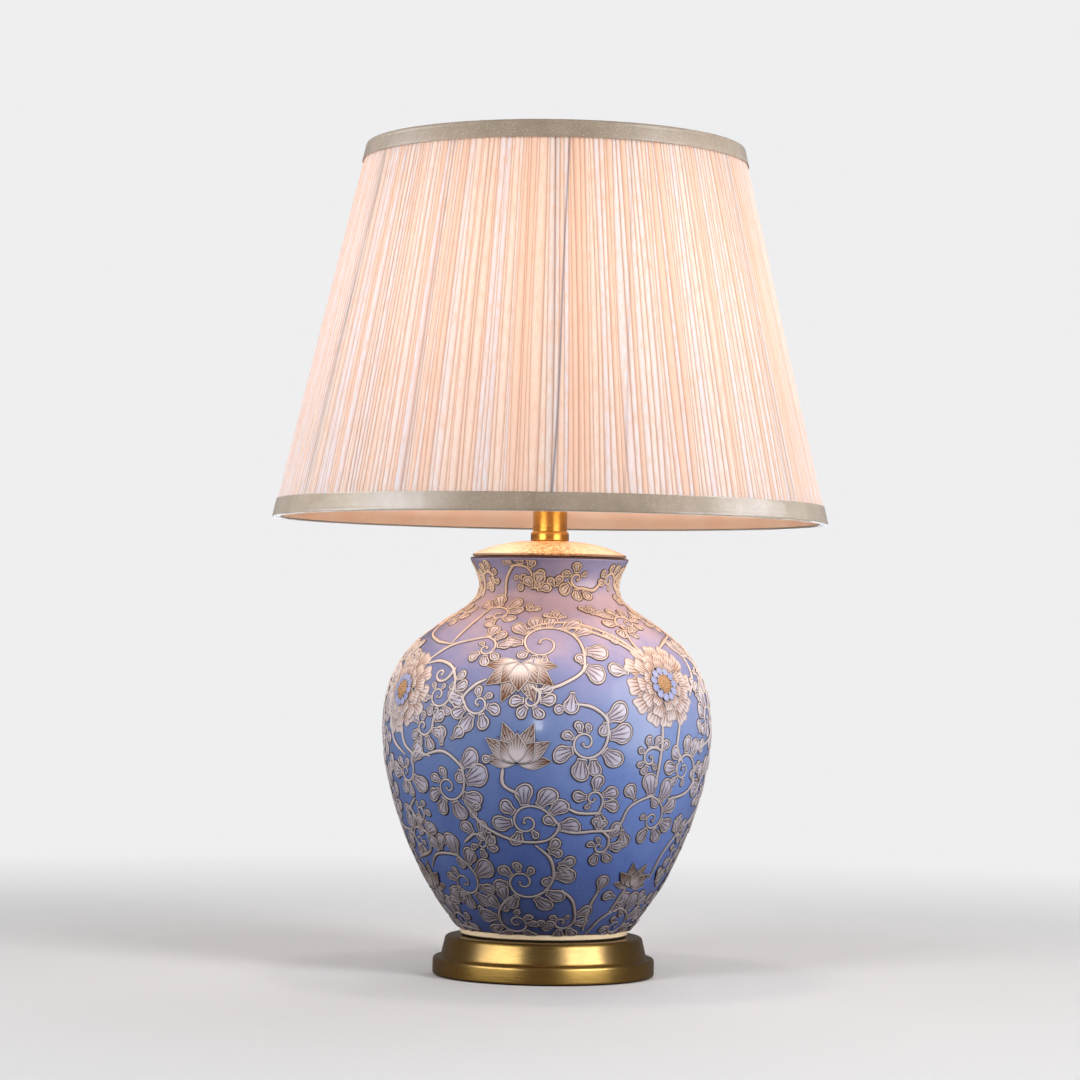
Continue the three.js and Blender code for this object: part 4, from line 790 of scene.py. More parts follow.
# Rings of a peony's petals: how many, distance of their base, length, width, lift
PEONY_PETALS = ((12, 0.5, 0.5, 0.44, 0.05), (11, 0.38, 0.42, 0.36, 0.35), (10, 0.3, 0.28, 0.28, 0.65))
PEONY_FLORETS = 11
PEONY_DOTS = ((1, 0), (6, 0.06), (11, 0.12), (16, 0.175))  # how many, distance


def lotus_flower(at, width, bearing):
    """A lotus seen from the side: six broad petals fanned behind and three before, and dots for stamens."""
    for layer, pairs in enumerate(LOTUS_PETALS):
        for k, (lean, length, across) in enumerate(pairs):
            lift = 0.1 + 1.05 * layer + 0.35 * k
            for hand in (-1, 1) if lean else (1,):
                pointing = bearing + hand * lean
                lobe(lotus, at, (0, 0), pointing, length * width, across * width, "pointed", lift, thin=0.5)
    for k in range(LOTUS_DOTS):
        far = width * rng.uniform(0.42, 0.48)
        blob(dots, at, heading(bearing + DOT_SPREAD * (k - LOTUS_DOTS // 2)) * far, 0.6, 1.2)


def peony_flower(at, radius):
    """A peony from the front: rings of ruffled petals, a ring of blue florets and a dotted gold heart."""
    for ring, (count, inner, length, across, lift) in enumerate(PEONY_PETALS):
        for k in range(count):
            bearing = 360 * (k + 0.5 * (ring > 0)) / count + rng.uniform(-4, 4)
            base = heading(bearing) * inner * radius
            long = length * radius * rng.uniform(0.85, 1.12)
            curl = rng.uniform(-0.12, 0.12)
            lobe(peony, at, base, bearing, long, across * radius, "ruffled", lift, curl, 0.45)
    for k in range(PEONY_FLORETS):
        bearing = 360 * k / PEONY_FLORETS
        base = heading(bearing) * 0.18 * radius
        lobe(florets, at, base, bearing, 0.2 * radius, 0.18 * radius, lift=1.3, thin=0.4, foot=0.5)
    blob(stamens, at, (0, 0), 0.21 * radius, 1.35)
    for count, far in PEONY_DOTS:
        for k in range(count):
            blob(dots, at, heading(360 * k / count) * far * radius, 0.42, 1.85 - 1.5 * far)


# One side of the ornament: angles in degrees from its middle, heights in mm above the table.
# Each scroll: place of its coil, hand, leaf size, places its stem runs through before the loop.
SCROLLS = [
    ((-20, 288), -1, 8, [(-36, 273), (-37, 285), (-29, 295)]),
    ((23, 287), -1, 8, [(47, 285), (39, 279), (29, 280)]),
    ((57, 286), 1, 7, [(80, 274), (68, 282)]),
    ((-56, 286), -1, 7, [(-64, 272), (-66, 288)]),
    ((-31, 260), -1, 10, [(-45, 239), (-44, 248), (-43, 256), (-42, 264)]),
    ((-2, 240), 1, 12, [(-8, 209), (0, 209), (7, 214), (13, 222)]),
    ((-42, 218), -1, 0, [(-36, 223), (-37, 219)]),
    ((-26, 236), -1, 9, [(-52, 228), (-44, 238), (-35, 242), (-28, 244)]),
    ((-41, 203), -1, 8, [(-52, 225), (-45, 227), (-38, 223), (-35, 215)]),
    ((-24, 198), 1, 10, [(-22, 215), (-26, 211), (-30, 203)]),
    ((-6, 201), -1, 9, [(-7, 212), (-3, 207)]),
    ((13, 172), -1, 13, [(8, 199), (15, 197), (20, 190)]),
    ((38, 161), 1, 7, [(43, 166)]),
    ((56, 153), 1, 11, [(50, 132), (60, 135), (65, 142)]),
    ((-59, 148), -1, 11, [(-44, 160), (-51, 163), (-54, 158)]),
    ((-37, 139), -1, 13, [(-48, 160), (-38, 164), (-31, 155)]),
    ((-7, 116), 1, 13, [(-31, 130), (-24, 113), (-12, 103), (0, 103), (5, 112)]),
    ((17, 133), 1, 10, [(7, 127), (12, 123), (19, 123)]),
    ((44, 118), -1, 12, [(4, 111), (11, 109), (18, 110), (28, 112), (32, 127), (40, 134)]),
    ((22, 99), -1, 9, [(21, 112), (25, 106)]),
    ((-40, 71), -1, 12, [(-60, 80), (-52, 90), (-41, 91)]),
    ((-26, 100), -1, 8, [(-34, 100), (-29, 106)]),
    ((-10, 73), -1, 12, [(-4, 100), (2, 91), (4, 80)]),
    ((-16, 43), 1, 11, [(-11, 64), (-18, 60)]),
    ((10, 44), -1, 9, [(8, 68), (14, 60), (17, 50)]),
    ((49, 40), -1, 11, [(28, 34), (34, 46), (43, 53)]),
    ((-55, 120), 1, 8, [(-56, 130), (-61, 123)]),
    ((-47, 181), -1, 8, [(-40, 193), (-42, 186)]),
    ((48, 256), -1, 9, [(41, 230), (39, 242), (40, 250)]),
    ((-66, 258), -1, 9, [(-45, 239), (-56, 241), (-70, 247), (-76, 257)]),
    ((74, 256), 1, 9, [(54, 238), (66, 244), (82, 248)]),
    ((-90, 262), 1, 9, [(-78, 252), (-82, 268)]),
    ((88, 286), -1, 7, [(96, 274), (80, 280)]),
    ((-86, 288), 1, 7, [(-96, 276), (-78, 282)]),
    ((76, 222), -1, 11, [(60, 204), (68, 220), (70, 232)]),
    ((-82, 226), -1, 11, [(-72, 206), (-88, 214), (-91, 224)]),
    ((75, 188), 1, 12, [(60, 166), (72, 170), (82, 176)]),
    ((-76, 176), 1, 12, [(-58, 160), (-66, 170), (-70, 188)]),
    ((96, 210), 1, 10, [(86, 198), (103, 204)]),
    ((92, 164), -1, 11, [(100, 146), (87, 152), (85, 168)]),
    ((77, 138), 1, 12, [(66, 108), (77, 117), (87, 129)]),
    ((-79, 128), -1, 12, [(-66, 106), (-78, 108), (-88, 120)]),
    ((70, 92), -1, 11, [(56, 74), (58, 92), (64, 105)]),
    ((91, 106), -1, 10, [(100, 90), (84, 94), (83, 110)]),
    ((-84, 82), 1, 11, [(-66, 60), (-72, 74), (-75, 92)]),
    ((-62, 100), 1, 9, [(-70, 86), (-56, 92), (-54, 104)]),
    ((93, 62), 1, 10, [(80, 48), (100, 50)]),
    ((72, 50), 1, 10, [(62, 38), (80, 40)]),
    ((-58, 42), -1, 9, [(-46, 36), (-68, 38)]),
    ((-84, 44), 1, 9, [(-94, 36), (-76, 36)]),
]
# Bare stems through places
STEMS = [
    [(-12, 249), (-2, 254), (10, 255), (22, 252), (32, 245), (40, 234)],
    [(4, 251), (14, 251), (24, 247), (34, 239), (42, 226)],
    [(52, 186), (51, 168), (55, 158)],
    [(-15, 154), (-15, 142), (-9, 135)],
    [(42, 69), (40, 61), (38, 51)],
    [(26.5, 67), (24, 54), (25, 38)],
    [(-69, 62), (-72, 52), (-70, 40)],
    [(-60, 182), (-58, 168), (-52, 160)],
    [(43, 186), (43, 170), (42, 141)],
]
# Fans of leaves: place, bearing, length, how many
FANS = [
    ((-12, 277), 70, 12, 3), ((-52, 277), 120, 9, 2), ((6, 279), 100, 9, 2), ((-60, 232), 200, 10, 2),
    ((4, 257), 90, 9, 3), ((-14, 262), 60, 9, 2), ((25, 261), 60, 9, 3), ((33, 247), 210, 10, 2),
    ((40, 248), 30, 9, 3), ((32.5, 220), 165, 15, 1), ((9, 210), 262, 14, 1), ((8, 198), 200, 9, 1),
    ((-17, 161), 190, 9, 1), ((-38, 165), 95, 13, 1), ((-35, 171), 40, 12, 1), ((-30, 127), 330, 9, 2),
    ((-22, 111), 250, 11, 2), ((20, 110), 80, 9, 2), ((30, 114), 290, 13, 1), ((-48, 91), 100, 13, 2),
    ((0, 95), 20, 11, 2), ((4, 86), 350, 12, 2), ((26, 64), 80, 13, 1), ((39, 62), 170, 11, 1),
    ((38, 58), 330, 9, 2), ((56, 54), 60, 11, 2), ((-48, 54), 110, 12, 3), ((-36, 46), 60, 9, 2),
    ((0, 38), 80, 9, 2), ((-66, 52), 60, 11, 2), ((62, 72), 40, 11, 3), ((58, 118), 330, 10, 2),
    ((64, 206), 30, 11, 3), ((-64, 184), 60, 11, 2), ((-70, 146), 90, 11, 3), ((68, 162), 100, 10, 2),
    ((-90, 148), 60, 11, 3), ((88, 130), 80, 11, 2), ((-72, 232), 60, 10, 3), ((88, 232), 60, 11, 3),
    ((-90, 200), 120, 11, 3), ((82, 78), 100, 10, 3), ((-94, 104), 90, 11, 3), ((-72, 270), 90, 9, 2),
    ((64, 268), 60, 9, 2), ((-96, 62), 90, 11, 3), ((66, 176), 95, 10, 1), ((35, 129.5), 128, 13, 1),
]
# Lotuses: place, width, bearing. Peonies: place, radius
LOTUSES = [
    ((-10, 226), 50, 270), ((-10, 158), 47, 88), ((-68, 66), 36, 90), ((44, 70), 32, 85), ((84, 34), 26, 90),
]
PEONIES = [((46, 213), 34), ((-62, 206), 33)]


def decorate():
    """The same ornament on the front and, turned half round, on the back."""
    for half in (0, 180):
        def turned(places):
            return [(angle + half, height) for angle, height in places]

        for at, hand, length, stem in SCROLLS:
            scroll(*turned([at]), hand, length, turned(stem))
        for places in STEMS:
            places = turned(places)
            ribbon(places[0], smooth_line(local(places[0], places), 1.3))
        for at, bearing, length, count in FANS:
            fan(*turned([at]), bearing, length, count)
        for at, width, bearing in LOTUSES:
            lotus_flower(*turned([at]), width, bearing)
        for at, radius in PEONIES:
            peony_flower(*turned([at]), radius)


def jar():
    """The glazed jar, with a cream band at its foot and a brown line at foot and lip."""
    base, top = VASE_BOTTOM, VASE_TOP
    foot, inner = FOOT_RADIUS - 10, LIP_RADIUS - LIP_ROUND - 7
    pull = (LIP_RADIUS + 0.6, top - 0.4), (LIP_RADIUS - 0.6, top)
    lip = bezier((LIP_RADIUS, top - LIP_ROUND), *pull, (LIP_RADIUS - 4, top), 8)
    below = [(foot, base), (FOOT_RADIUS - 0.4, base), (FOOT_RADIUS, base + 0.5)]
    inside = [(inner, top), (inner, top - 20), (foot, base + 12)]
    piece("jar", turn([*below, *side, *lip[1:], *inside], JAR_SIDES), "blue_glaze", node="vase")
    radius, height = side[0]
    band = [
        (FOOT_RADIUS - 0.3, base + 0.05), (FOOT_RADIUS + 0.3, base + 0.6), (FOOT_RADIUS + 0.4, base + 2.6),
        (radius + 0.5, height), (radius - 1, height + 0.3), (FOOT_RADIUS - 1, base + 0.2),
    ]
    piece("foot_band", turn(band, TRIM_SIDES), "plain_cream")
    wire = 0.7
    for name, r, z in (("foot_line", radius, height + wire), ("lip_line", LIP_RADIUS - 0.4, top - 0.9)):
        piece(name, hoop(r, z, wire, 8, TRIM_SIDES), "brown_line")


jar()
decorate()
for relief in Relief.every:
    relief.make()


# ---- base, cap and neck

def brass_base():
    """A spun pan: rolled foot, broad ledge, small step and flat deck."""
    bottom, top, radius = span("base_shell")
    wall = 1.2
    ledge = bottom + 12.6
    step, deck, roll = radius - 6.0, radius - 9.2, radius - 5.2
    corners = [
        (roll, bottom), (radius, bottom, 1.4), (radius, ledge, 2.8), (step + 0.6, ledge, 0.6),
        (step, ledge + wall, 0.6), (deck, top, 2.6), (6, top), (6, top - wall),
        (deck - wall, top - wall, 1.2), (step - wall, ledge - wall), (radius - wall, ledge - wall, 1.0),
        (radius - wall, bottom + 1.4), (roll, bottom + 1.4),
    ]
    lathe("brass_base", "base_shell", corners, "satin_brass", 7, 160)


def round_sheet(name, node, look, hole=0.01, edge=0.4):
    """A flat disc or washer with eased edges."""
    bottom, top, radius = span(node)
    lathe(name, node, disc(hole, radius, bottom, top, (edge, edge)), look, 3, TRIM_SIDES)


def cap_dome():
    """The cream cap: a low dome with a flat seat for the neck and a collar inside the jar's lip."""
    low, top, radius = span("vase_cap")
    outer, inner, flat, hole = 42, 38, 14.5, 6.3
    bottom = low + 8  # underside of the cap's rim, over the lip of the jar
    dome = bezier((radius, bottom + 1), (radius - 12, bottom + 6.7), (flat + 14, top), (flat, top), 26)
    profile = [(outer, bottom), (radius - 3, bottom), (radius - 1.4, bottom - 0.8)]
    profile += [(radius - 0.3, bottom - 0.6), (radius - 0.05, bottom + 0.2), *dome]
    profile += [(hole, top), (hole, top - 4), (inner, bottom + 2), (inner, low), (outer, low)]
    piece("cap_dome", turn(profile, TRIM_SIDES), "cream_glaze", node="vase_cap")


def brass_neck():
    """Collar, tube and the plate that the holder stands on."""
    bottom, top, radius = span("neck_collar")
    waist = radius - 0.9
    corners = [(6, bottom), (radius, bottom, 0.8), (radius, top - 1.6, 0.5), (waist, top, 0.8), (6, top)]
    lathe("collar", "neck_collar", corners, "satin_brass", 5, 96)
    bottom, top, radius = span("neck_tube")
    corners = [(radius - 1, bottom), (radius, bottom), (radius, top, 0.3), (radius - 1, top)]
    lathe("neck", "neck_tube", corners, "satin_brass", 4, 96)
    bottom, top, radius = span("neck_cap")
    hole, plug, rim = 5.4, 11, top - 2
    corners = [(hole, bottom), (plug, bottom, 0.4), (plug, rim)]
    corners += [(radius, rim, 0.4), (radius, top, 0.6), (hole, top)]
    lathe("neck_plate", "neck_cap", corners, "bright_brass", 4, 96)


brass_base()
round_sheet("felt_disc", "felt_pad", "felt")
round_sheet("foot_ring", "foot_gasket", "rubber", 52)
round_sheet("cap_ring", "cap_gasket", "rubber", 42)
cap_dome()
brass_neck()

# ---- the shade

SHADE_BOTTOM_RADIUS = 201.0
SHADE_TOP_RADIUS = 137.5
SHADE_SLOPE = (SHADE_BOTTOM_RADIUS - SHADE_TOP_RADIUS) / (SHADE_TOP - SHADE_BOTTOM)
PLEATS = 340
PLEAT_STEPS = 9
PLEAT_DEPTH = 1.05
PLEAT_ROWS = 26
# Painted shadows of seams and ribs on the cover: degrees from the front at the hem and at the rim, and how
# dark
SEAM_SHADOWS = [(0, 4, 1.0), (-31, -30, 0.4), (14, 22, 0.4), (-61, -59, 0.6), (58, 56, 0.3), (90, 92, 0.4)]
SEAM_SHADOW_WIDTH = 0.9
TAPE_OUTER, TAPE_INNER, TAPE_THICK = 12.0, 8.0, 0.7
TAPE_SIDES = 540
# Depth of the middle of a rib, and the least one of the top ring's, below the face of the shade
RIB_INSET, RING_INSET = 3.3, 3.2


def shade_radius(z):
    return SHADE_BOTTOM_RADIUS - SHADE_SLOPE * (z - SHADE_BOTTOM)


def seam_shadow_lines(angle, height):
    """How dark the painted seam and rib shadows make each place of the cover, 0 to 1; the back has the same
    lines as the front.
    """
    dark = np.zeros(angle.shape)
    for hem, rim, strength in SEAM_SHADOWS:
        place = np.radians(hem + (rim - hem) * height) + 0.004 * np.sin(7 * height + hem)
        apart = (angle - place + np.pi / 2) % np.pi - np.pi / 2
        dark = np.maximum(dark, strength * np.exp(-(apart * SHADE_BOTTOM_RADIUS / SEAM_SHADOW_WIDTH) ** 2))
    return dark


def pleated_cover():
    """Uneven knife pleats from hem to rim; each wanders a little and leans over its neighbour. The arrays run
    over pleats, steps across a pleat and rows up it."""
    pitch = 2 * np.pi / PLEATS
    width = rng.uniform(0.5, 1.5, PLEATS)
    start = np.cumsum(width) / width.sum() * 2 * np.pi
    height = np.linspace(0, 1, PLEAT_ROWS)
    wander = rng.normal(0, 0.3, PLEATS)[:, None] * np.sin(np.pi * height * 1.1)
    wander += rng.normal(0, 0.4, PLEATS)[:, None] * height ** 2
    edges = np.maximum.accumulate(start[:, None] + wander * pitch, 0)
    following = np.roll(edges, -1, 0)
    following[-1] += 2 * np.pi
    gap = (following - edges)[:, None]
    share = np.arange(PLEAT_STEPS)[:, None] / PLEAT_STEPS
    lean = rng.uniform(0.55, 1.7, PLEATS)[:, None, None]
    angle = edges[:, None] + gap * share ** lean
    crest = np.sin(np.pi * share) ** 0.6
    deep = np.clip(gap / pitch, 0.2, 1.2) / 1.2 * rng.uniform(0.7, 1.0, PLEATS)[:, None, None]
    inset = 0.05 + PLEAT_DEPTH * (1 - crest * deep)
    z = SHADE_BOTTOM + (SHADE_TOP - SHADE_BOTTOM) * height
    points = polar(shade_radius(z) - inset, angle, z).reshape(-1, 3)
    tint = rng.random(PLEATS)[:, None, None]
    # marks for the material: crest shape, random tint, and the painted shadows of seams and ribs
    marks = {
        "crest": np.broadcast_to(crest, angle.shape).ravel(),
        "tint": np.broadcast_to(tint, angle.shape).ravel(),
        "seam_shadow": seam_shadow_lines(angle, height).ravel(),
    }
    shape = points, grid(PLEATS * PLEAT_STEPS, PLEAT_ROWS, True)
    return piece("pleated_cover", shape, "pleated_cloth", "shade", node="shade_cover", marks=marks, crease=0)


def lining():
    """Smooth cloth inside the wires."""
    depth = SHADE_BOTTOM_RADIUS - span("shade_lining")[2]
    z = np.linspace(SHADE_BOTTOM + 0.2, SHADE_TOP - 0.2, 14)
    profile = np.stack([shade_radius(z) - depth - 0.1, z], -1)
    return piece("lining", turn(profile, 180, False), "lining_cloth", "shade", node="shade_lining")


def tape(name, node, edge, hem):
    """Bias tape folded over a rim, slightly puckered, with a stitched fold near either edge."""
    inside = 4.9
    under = inside + TAPE_THICK
    # Depth into the shade and rise from the rim along the fold
    section = np.array([
        (-1.0, TAPE_OUTER), (-0.72, TAPE_OUTER - 0.1), (-1.0, TAPE_OUTER - 1.4), (-0.95, TAPE_OUTER - 1.9),
        (-1.0, TAPE_OUTER - 2.4), (-1.0, TAPE_OUTER / 2), (-0.95, 2.9), (-0.72, 2.4), (-1.0, 1.6),
        (-1.0, 0.4), (-0.7, -0.5), (0.3, -1.0), (inside - 0.2, -1.0), (under, -0.4), (under, 1.5),
        (under, TAPE_INNER - 0.3), (inside + 0.2, TAPE_INNER),
    ])
    depth, rise = smooth_line(section, 0.8).T
    angle = np.arange(TAPE_SIDES)[:, None] * 2 * np.pi / TAPE_SIDES
    pucker = sum(rng.normal(0, 0.035) * np.sin(k * angle + rng.uniform(0, 6)) for k in range(7, 60, 3))
    slant = np.sin(angle * 90 + rise * 0.5) * 0.05
    push = np.clip(slant - np.abs(pucker), -0.35, 0.0)
    z = edge - hem * rise
    points = polar(shade_radius(z) - depth + push * (depth < 1), angle, z)
    wrap = np.stack(np.broadcast_arrays(angle * 160, rise, 0.0), -1)
    faces = grid(TAPE_SIDES, len(depth), True)
    shape = points.reshape(-1, 3), faces if hem < 0 else flipped(faces)
    return piece(name, shape, "satin_tape", "shade", node=node, marks={"wrap": wrap.reshape(-1, 3)})


cover = pleated_cover()
inside_cloth = lining()
tape_bottom = tape("tape_bottom", "trim_bottom", SHADE_BOTTOM, -1)
tape_top = tape("tape_top", "trim_top", SHADE_TOP, 1)

# ---- wires, socket, bulb and finial

# Half the thickness of each kind of wire
RING_WIRE, RIB_WIRE, ARM_WIRE, HARP_WIRE = 1.4, 1.2, 1.5, 1.65
STUD_HOLE = 3.4  # radius of the holes that the harp's stud goes through


def shade_wires():
    """The bottom ring and the six ribs."""
    node = "shade_bottom_ring"
    bottom, top, radius = span(node)
    wire = hoop(radius - RING_WIRE, (bottom + top) / 2, RING_WIRE)
    piece("bottom_wire", wire, "steel", "shade", node=node)
    for i in range(6):
        node = f"shade_rib_{i + 1}"
        bottom, top, _ = span(node)
        ends = [(shade_radius(z) - RIB_INSET, 0, z) for z in (bottom + 0.3, top - 0.3)]
        points, faces = sweep(np.linspace(*ends, 12), RIB_WIRE, (0, 1, 0))
        piece(f"rib_{i + 1}", (about_axis(points, -90 + 60 * i), faces), "steel", "shade", node=node)


def spider():
    """The top ring, three arms and the washer on the harp."""
    node = "shade_top_ring"
    bottom, top, radius = span(node)
    ring_z = top - RING_WIRE
    ring = min(radius - RING_WIRE, shade_radius(ring_z) - RING_INSET)
    thick, rim = 1.8, 12
    washer = turn(rounded(disc(STUD_HOLE, rim, bottom, bottom + thick, (0.3, 0.5)), 3), 64)
    parts = [hoop(ring, ring_z, RING_WIRE), washer]
    hub = bottom + thick / 2
    arm = bezier((9, 0, hub), (0.45 * ring, 0, hub), (0.75 * ring, 0, ring_z), (ring, 0, ring_z), 28)
    points, faces = sweep(arm, ARM_WIRE, (0, 1, 0))
    parts += [(about_axis(points, 90 + 120 * k), faces) for k in range(3)]
    piece("spider", combine(*parts), "steel", "shade", node=node)


def harp():
    """A wire bow that swells out round the bulb, with a flat eye at its top."""
    bottom, top, _ = span("harp_bow")
    top -= HARP_WIRE
    half, wide, eye = 29.0, 53.0, 8.5
    leg = bottom + 24
    belly = leg + 0.48 * (top - leg)
    rise = belly - leg
    out = [(half, 0, leg), (half, 0, leg + 0.45 * rise), (wide, 0, belly - 0.5 * rise), (wide, 0, belly)]
    over = [(wide, 0, belly), (wide, 0, belly + 0.6 * (top - belly)), (0.65 * wide, 0, top), (eye, 0, top)]
    legs = np.linspace((half, 0, bottom), (half, 0, leg), 8)
    right = np.vstack([legs, bezier(*out, 26)[1:], bezier(*over, 26)[1:]])
    path = np.vstack([right, right[::-1] * (-1, 1, 1)])
    bow = sweep(even(path, 3.5), HARP_WIRE, (0, 1, 0), 12)
    plate = turn(rounded(disc(STUD_HOLE, eye, top - HARP_WIRE, top + HARP_WIRE), 3), 48)
    piece("harp", combine(bow, plate), "steel", "harp", node="harp_bow")


def bulb_glass():
    """The bulb's globe on its tapering neck. Gives the height of the globe's middle."""
    bottom, top, _ = span("bulb_glass")
    radius, neck = 30.0, 11.2
    centre = top - radius
    wide = math.pi / 5
    leave = np.array([radius * math.cos(wide), centre - radius * math.sin(wide)])
    pull = np.array([math.sin(wide), math.cos(wide)]) * -14
    lower = bezier((neck, bottom + 6), (neck, bottom + 20), leave + pull, leave, 16)
    globe = ball_side(radius, centre, np.linspace(-wide, math.pi / 2 - 0.02, 24)[1:])
    shape = turn([(neck, bottom), *lower, *globe, (0.01, top)], 72, False)
    made = piece("bulb_globe", shape, "frosted_glass", "bulb", node="bulb_glass")
    made.visible_shadow = False
    return centre


def finial():
    """A ball on a stepped foot."""
    base, top, _ = span("finial")
    radius = 7.2
    ball = ball_side(radius, top - radius - 1, np.linspace(-0.3 * math.pi, 0.4 * math.pi, 18))
    foot = [(STUD_HOLE, base), (8, base, 0.6), (7.7, base + 2.2, 0.7)]
    foot += [(4.8, base + 3.4, 0.6), (4.2, base + 4.4, 0.4)]
    tip = [(1.7, top - 0.8), (1.2, top - 0.1), (0.01, top)]
    shape = turn([*rounded(foot, 4), *ball, *tip], 64, False)
    piece("finial_knob", shape, "bright_brass", "finial", node="finial")


def socket_cup():
    """The cup of the lamp holder, in thin metal."""
    base, top, _ = span("socket_cap")
    outer, inner, hole = 20.0, 19.3, 5.3
    knee = top - 8.5
    corners = [
        (hole, base), (9.5, base, 0.5), (outer - 4, base + 4, 3), (outer, knee, 3),
        (outer, top, 0.3), (inner, top), (inner, knee, 2), (hole, base + 0.7),
    ]
    lathe("socket_cup", "socket_cap", corners, "bright_brass", 5, 72)


shade_wires()
spider()
harp()
bulb_centre = bulb_glass()
finial()
socket_cup()

# ---- floor, light and camera

# Strength of the world for each kind of ray. Dim reflections keep brass and glaze deep in tone
DIFFUSE_LEVEL = 0.36
RAY_LEVELS = (("Is Glossy Ray", 0.13), ("Is Transmission Ray", 1.0), ("Is Camera Ray", 1.0))


def world_light():
    """Pale surroundings, softer for diffuse light and dim in reflections."""
    world = bpy.data.worlds.new("studio")
    bpy.context.scene.world = world
    s = Nodes(world)
    path = s.node("LightPath").outputs
    level = DIFFUSE_LEVEL
    for ray, strength in RAY_LEVELS:
        level = s.node("Mix", i0=path[ray], i2=level, i3=strength).outputs[0]
    s.set(s.tree.nodes["Background"], Color=(0.86, 0.86, 0.87, 1), Strength=level)


def floor():
    """A round pale floor that fades into the background and throws little light back up at the lamp."""
    s = Surface("floor", Roughness=0.9)
    seen = s.node("LightPath").outputs["Is Camera Ray"]
    s.paint(Base_Color=s.mix(seen, (0.17, 0.16, 0.15, 1), (0.84, 0.84, 0.85, 1)))
    distance = s.node("VectorMath", {"operation": "LENGTH"}, i0=s.place()).outputs["Value"]
    s.join(s.band(distance, 0.35, 1.3), s.shader, s.node("BsdfTransparent"))
    points, faces = turn([(r, -0.3) for r in (0.01, 200, 700, 1500, 2400)], 64, False)
    solid("floor", (points, flipped(faces)), finish["floor"])


def softbox(name, place, size, power, target=(0, 0, 0.3), only=None, tone=(1, 1, 1), shine=True, oval=False):
    """A soft light that leaves no picture of itself in the glaze. With `only` it lights those pieces alone,
    and unless shine is off it also shows in them."""
    light = bpy.data.lights.new(name, "AREA")
    light.shape = "ELLIPSE" if oval else "RECTANGLE"
    light.size, light.size_y = size
    light.energy = power
    light.color = tone
    made = placed(name, light)
    made.location = place
    made.rotation_euler = (Vector(target) - Vector(place)).to_track_quat("-Z", "Y").to_euler()
    made.visible_glossy = only is not None and shine
    made.visible_camera = False
    if only:
        lit = bpy.data.collections.new(name)
        for shown in only:
            lit.objects.link(frame["nodes"].get(shown) or bpy.data.objects[shown])
        made.light_linking.receiver_collection = lit


def lamp_light():
    """The lit bulb."""
    light = bpy.data.lights.new("lit_bulb", "POINT")
    light.color = (1.0, 0.92, 0.83)
    light.energy = 1.1
    light.shadow_soft_size = 0.028
    made = placed("lit_bulb", light)
    made.location = (0, 0, bulb_centre * MM)
    made.visible_glossy = False
    made.parent = frame["bodies"]["bulb"]


CAMERA_DISTANCE = 2.406
CAMERA_HEIGHT = 0.246
CAMERA_LENS = 110.07
CAMERA_PITCH, CAMERA_ROLL, CAMERA_YAW = 1.655, 0.9, -0.17


def camera():
    """The camera before the lamp, tipped up a little."""
    data = bpy.data.cameras.new("camera")
    data.lens, data.sensor_width = CAMERA_LENS, 36
    data.clip_start, data.clip_end = 0.05, 50
    made = placed("camera", data)
    level = Euler((math.radians(90 + CAMERA_PITCH), 0, -math.radians(CAMERA_YAW)), "XYZ").to_matrix()
    roll = Matrix.Rotation(math.radians(CAMERA_ROLL), 3, "Z")
    made.matrix_world = Matrix.Translation((0, -CAMERA_DISTANCE, CAMERA_HEIGHT)) @ (level @ roll).to_4x4()
    bpy.context.scene.camera = made


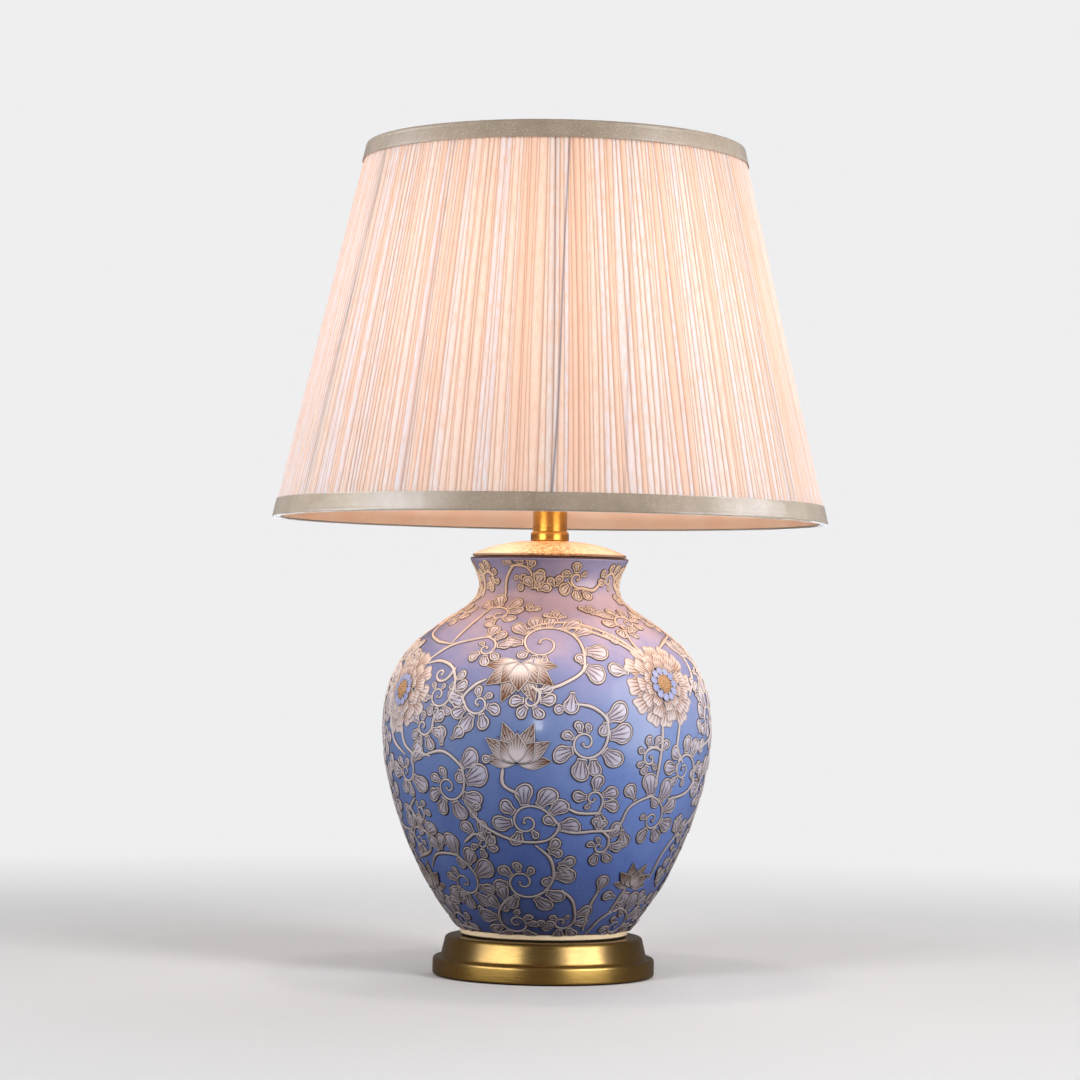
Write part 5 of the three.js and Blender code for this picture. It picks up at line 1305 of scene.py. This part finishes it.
def lights():
    """Key, fill and rim for the whole lamp, then soft boxes for single materials."""
    softbox("key", (1.7, -1.7, 1.3), (0.8, 1.1), 38)
    softbox("fill", (-1.5, -1.9, 1.4), (0.8, 1.1), 25)
    softbox("rim", (0.6, 1.9, 1.6), (1.4, 1.0), 14)

    warm, rose = (1.0, 0.93, 0.82), (1.0, 0.62, 0.45)
    softbox("window", (-0.167, -1.61, 0.257), (0.16, 0.16), 1.0, (-0.006, -0.119, 0.184), ["jar"])
    softbox("sheen", (2.0, -0.9, 0.6), (1.5, 2.4), 27, (0, 0, 0.2), ["jar"], warm, oval=True)
    softbox("cap_glow", (0, -0.09, 0.42), (0.1, 0.1), 0.2, only=["cap_dome"], tone=rose, shine=False)

    gold, pale, cool = (1.0, 0.9, 0.62), (0.86, 0.92, 1.0), (0.66, 0.82, 1.0)
    neck, tapes, cloth = ["collar", "neck", "neck_plate"], ["tape_bottom", "tape_top"], ["pleated_cover"]
    height = (0, 0, 0.45)
    for across, edge in ((-1, "left"), (1, "right")):
        softbox("neck_" + edge, (1.2 * across, -1.2, 0.22), (1.1, 0.5), 17, only=neck, tone=gold)
        softbox("tape_" + edge, (2.0 * across, -0.5, 0.5), (0.8, 1.0), 100, height, tapes, pale)
        softbox("cloth_" + edge, (2.2 * across, -0.4, 0.5), (0.8, 1.0), 40, height, cloth, cool)

    blue, low = (0.62, 0.74, 1.0), (0, 0, 0.02)
    softbox("base_left", (-1.26, -0.98, 0.5), (1.6, 0.6), 17, low, ["brass_base"], blue)
    softbox("base_right", (1.17, -1.09, 0.5), (1.3, 0.6), 27, low, ["brass_base"], blue)
    fittings = ["spider", "harp", "finial_knob", "socket_cup", "neck_plate", "bottom_wire"]
    fittings += [f"rib_{i + 1}" for i in range(6)]
    fittings += ["harp_stud", "ferrule_left", "ferrule_right", "harp_saddle", "socket_shell"]
    fittings += ["socket_knob", "knob_shaft", "screw_shell", "bulb_cap"]
    softbox("fittings", (0.4, -0.7, 1.7), (1.8, 1.8), 30, (0, 0, 0.5), fittings)

    middle = (0, 0, 0.18)
    enamelled = ["jar", "foot_band", *[relief.name for relief in Relief.every]]
    softbox("jar_left", (-2.0, -0.15, 0.3), (0.8, 1.0), 26, middle, enamelled, warm, shine=False)
    softbox("jar_right", (1.95, -0.45, 0.32), (0.8, 1.0), 28, middle, enamelled, warm, shine=False)
    lamp_light()


world_light()
floor()
lights()
camera()
bpy.context.scene.view_settings.view_transform = "Standard"
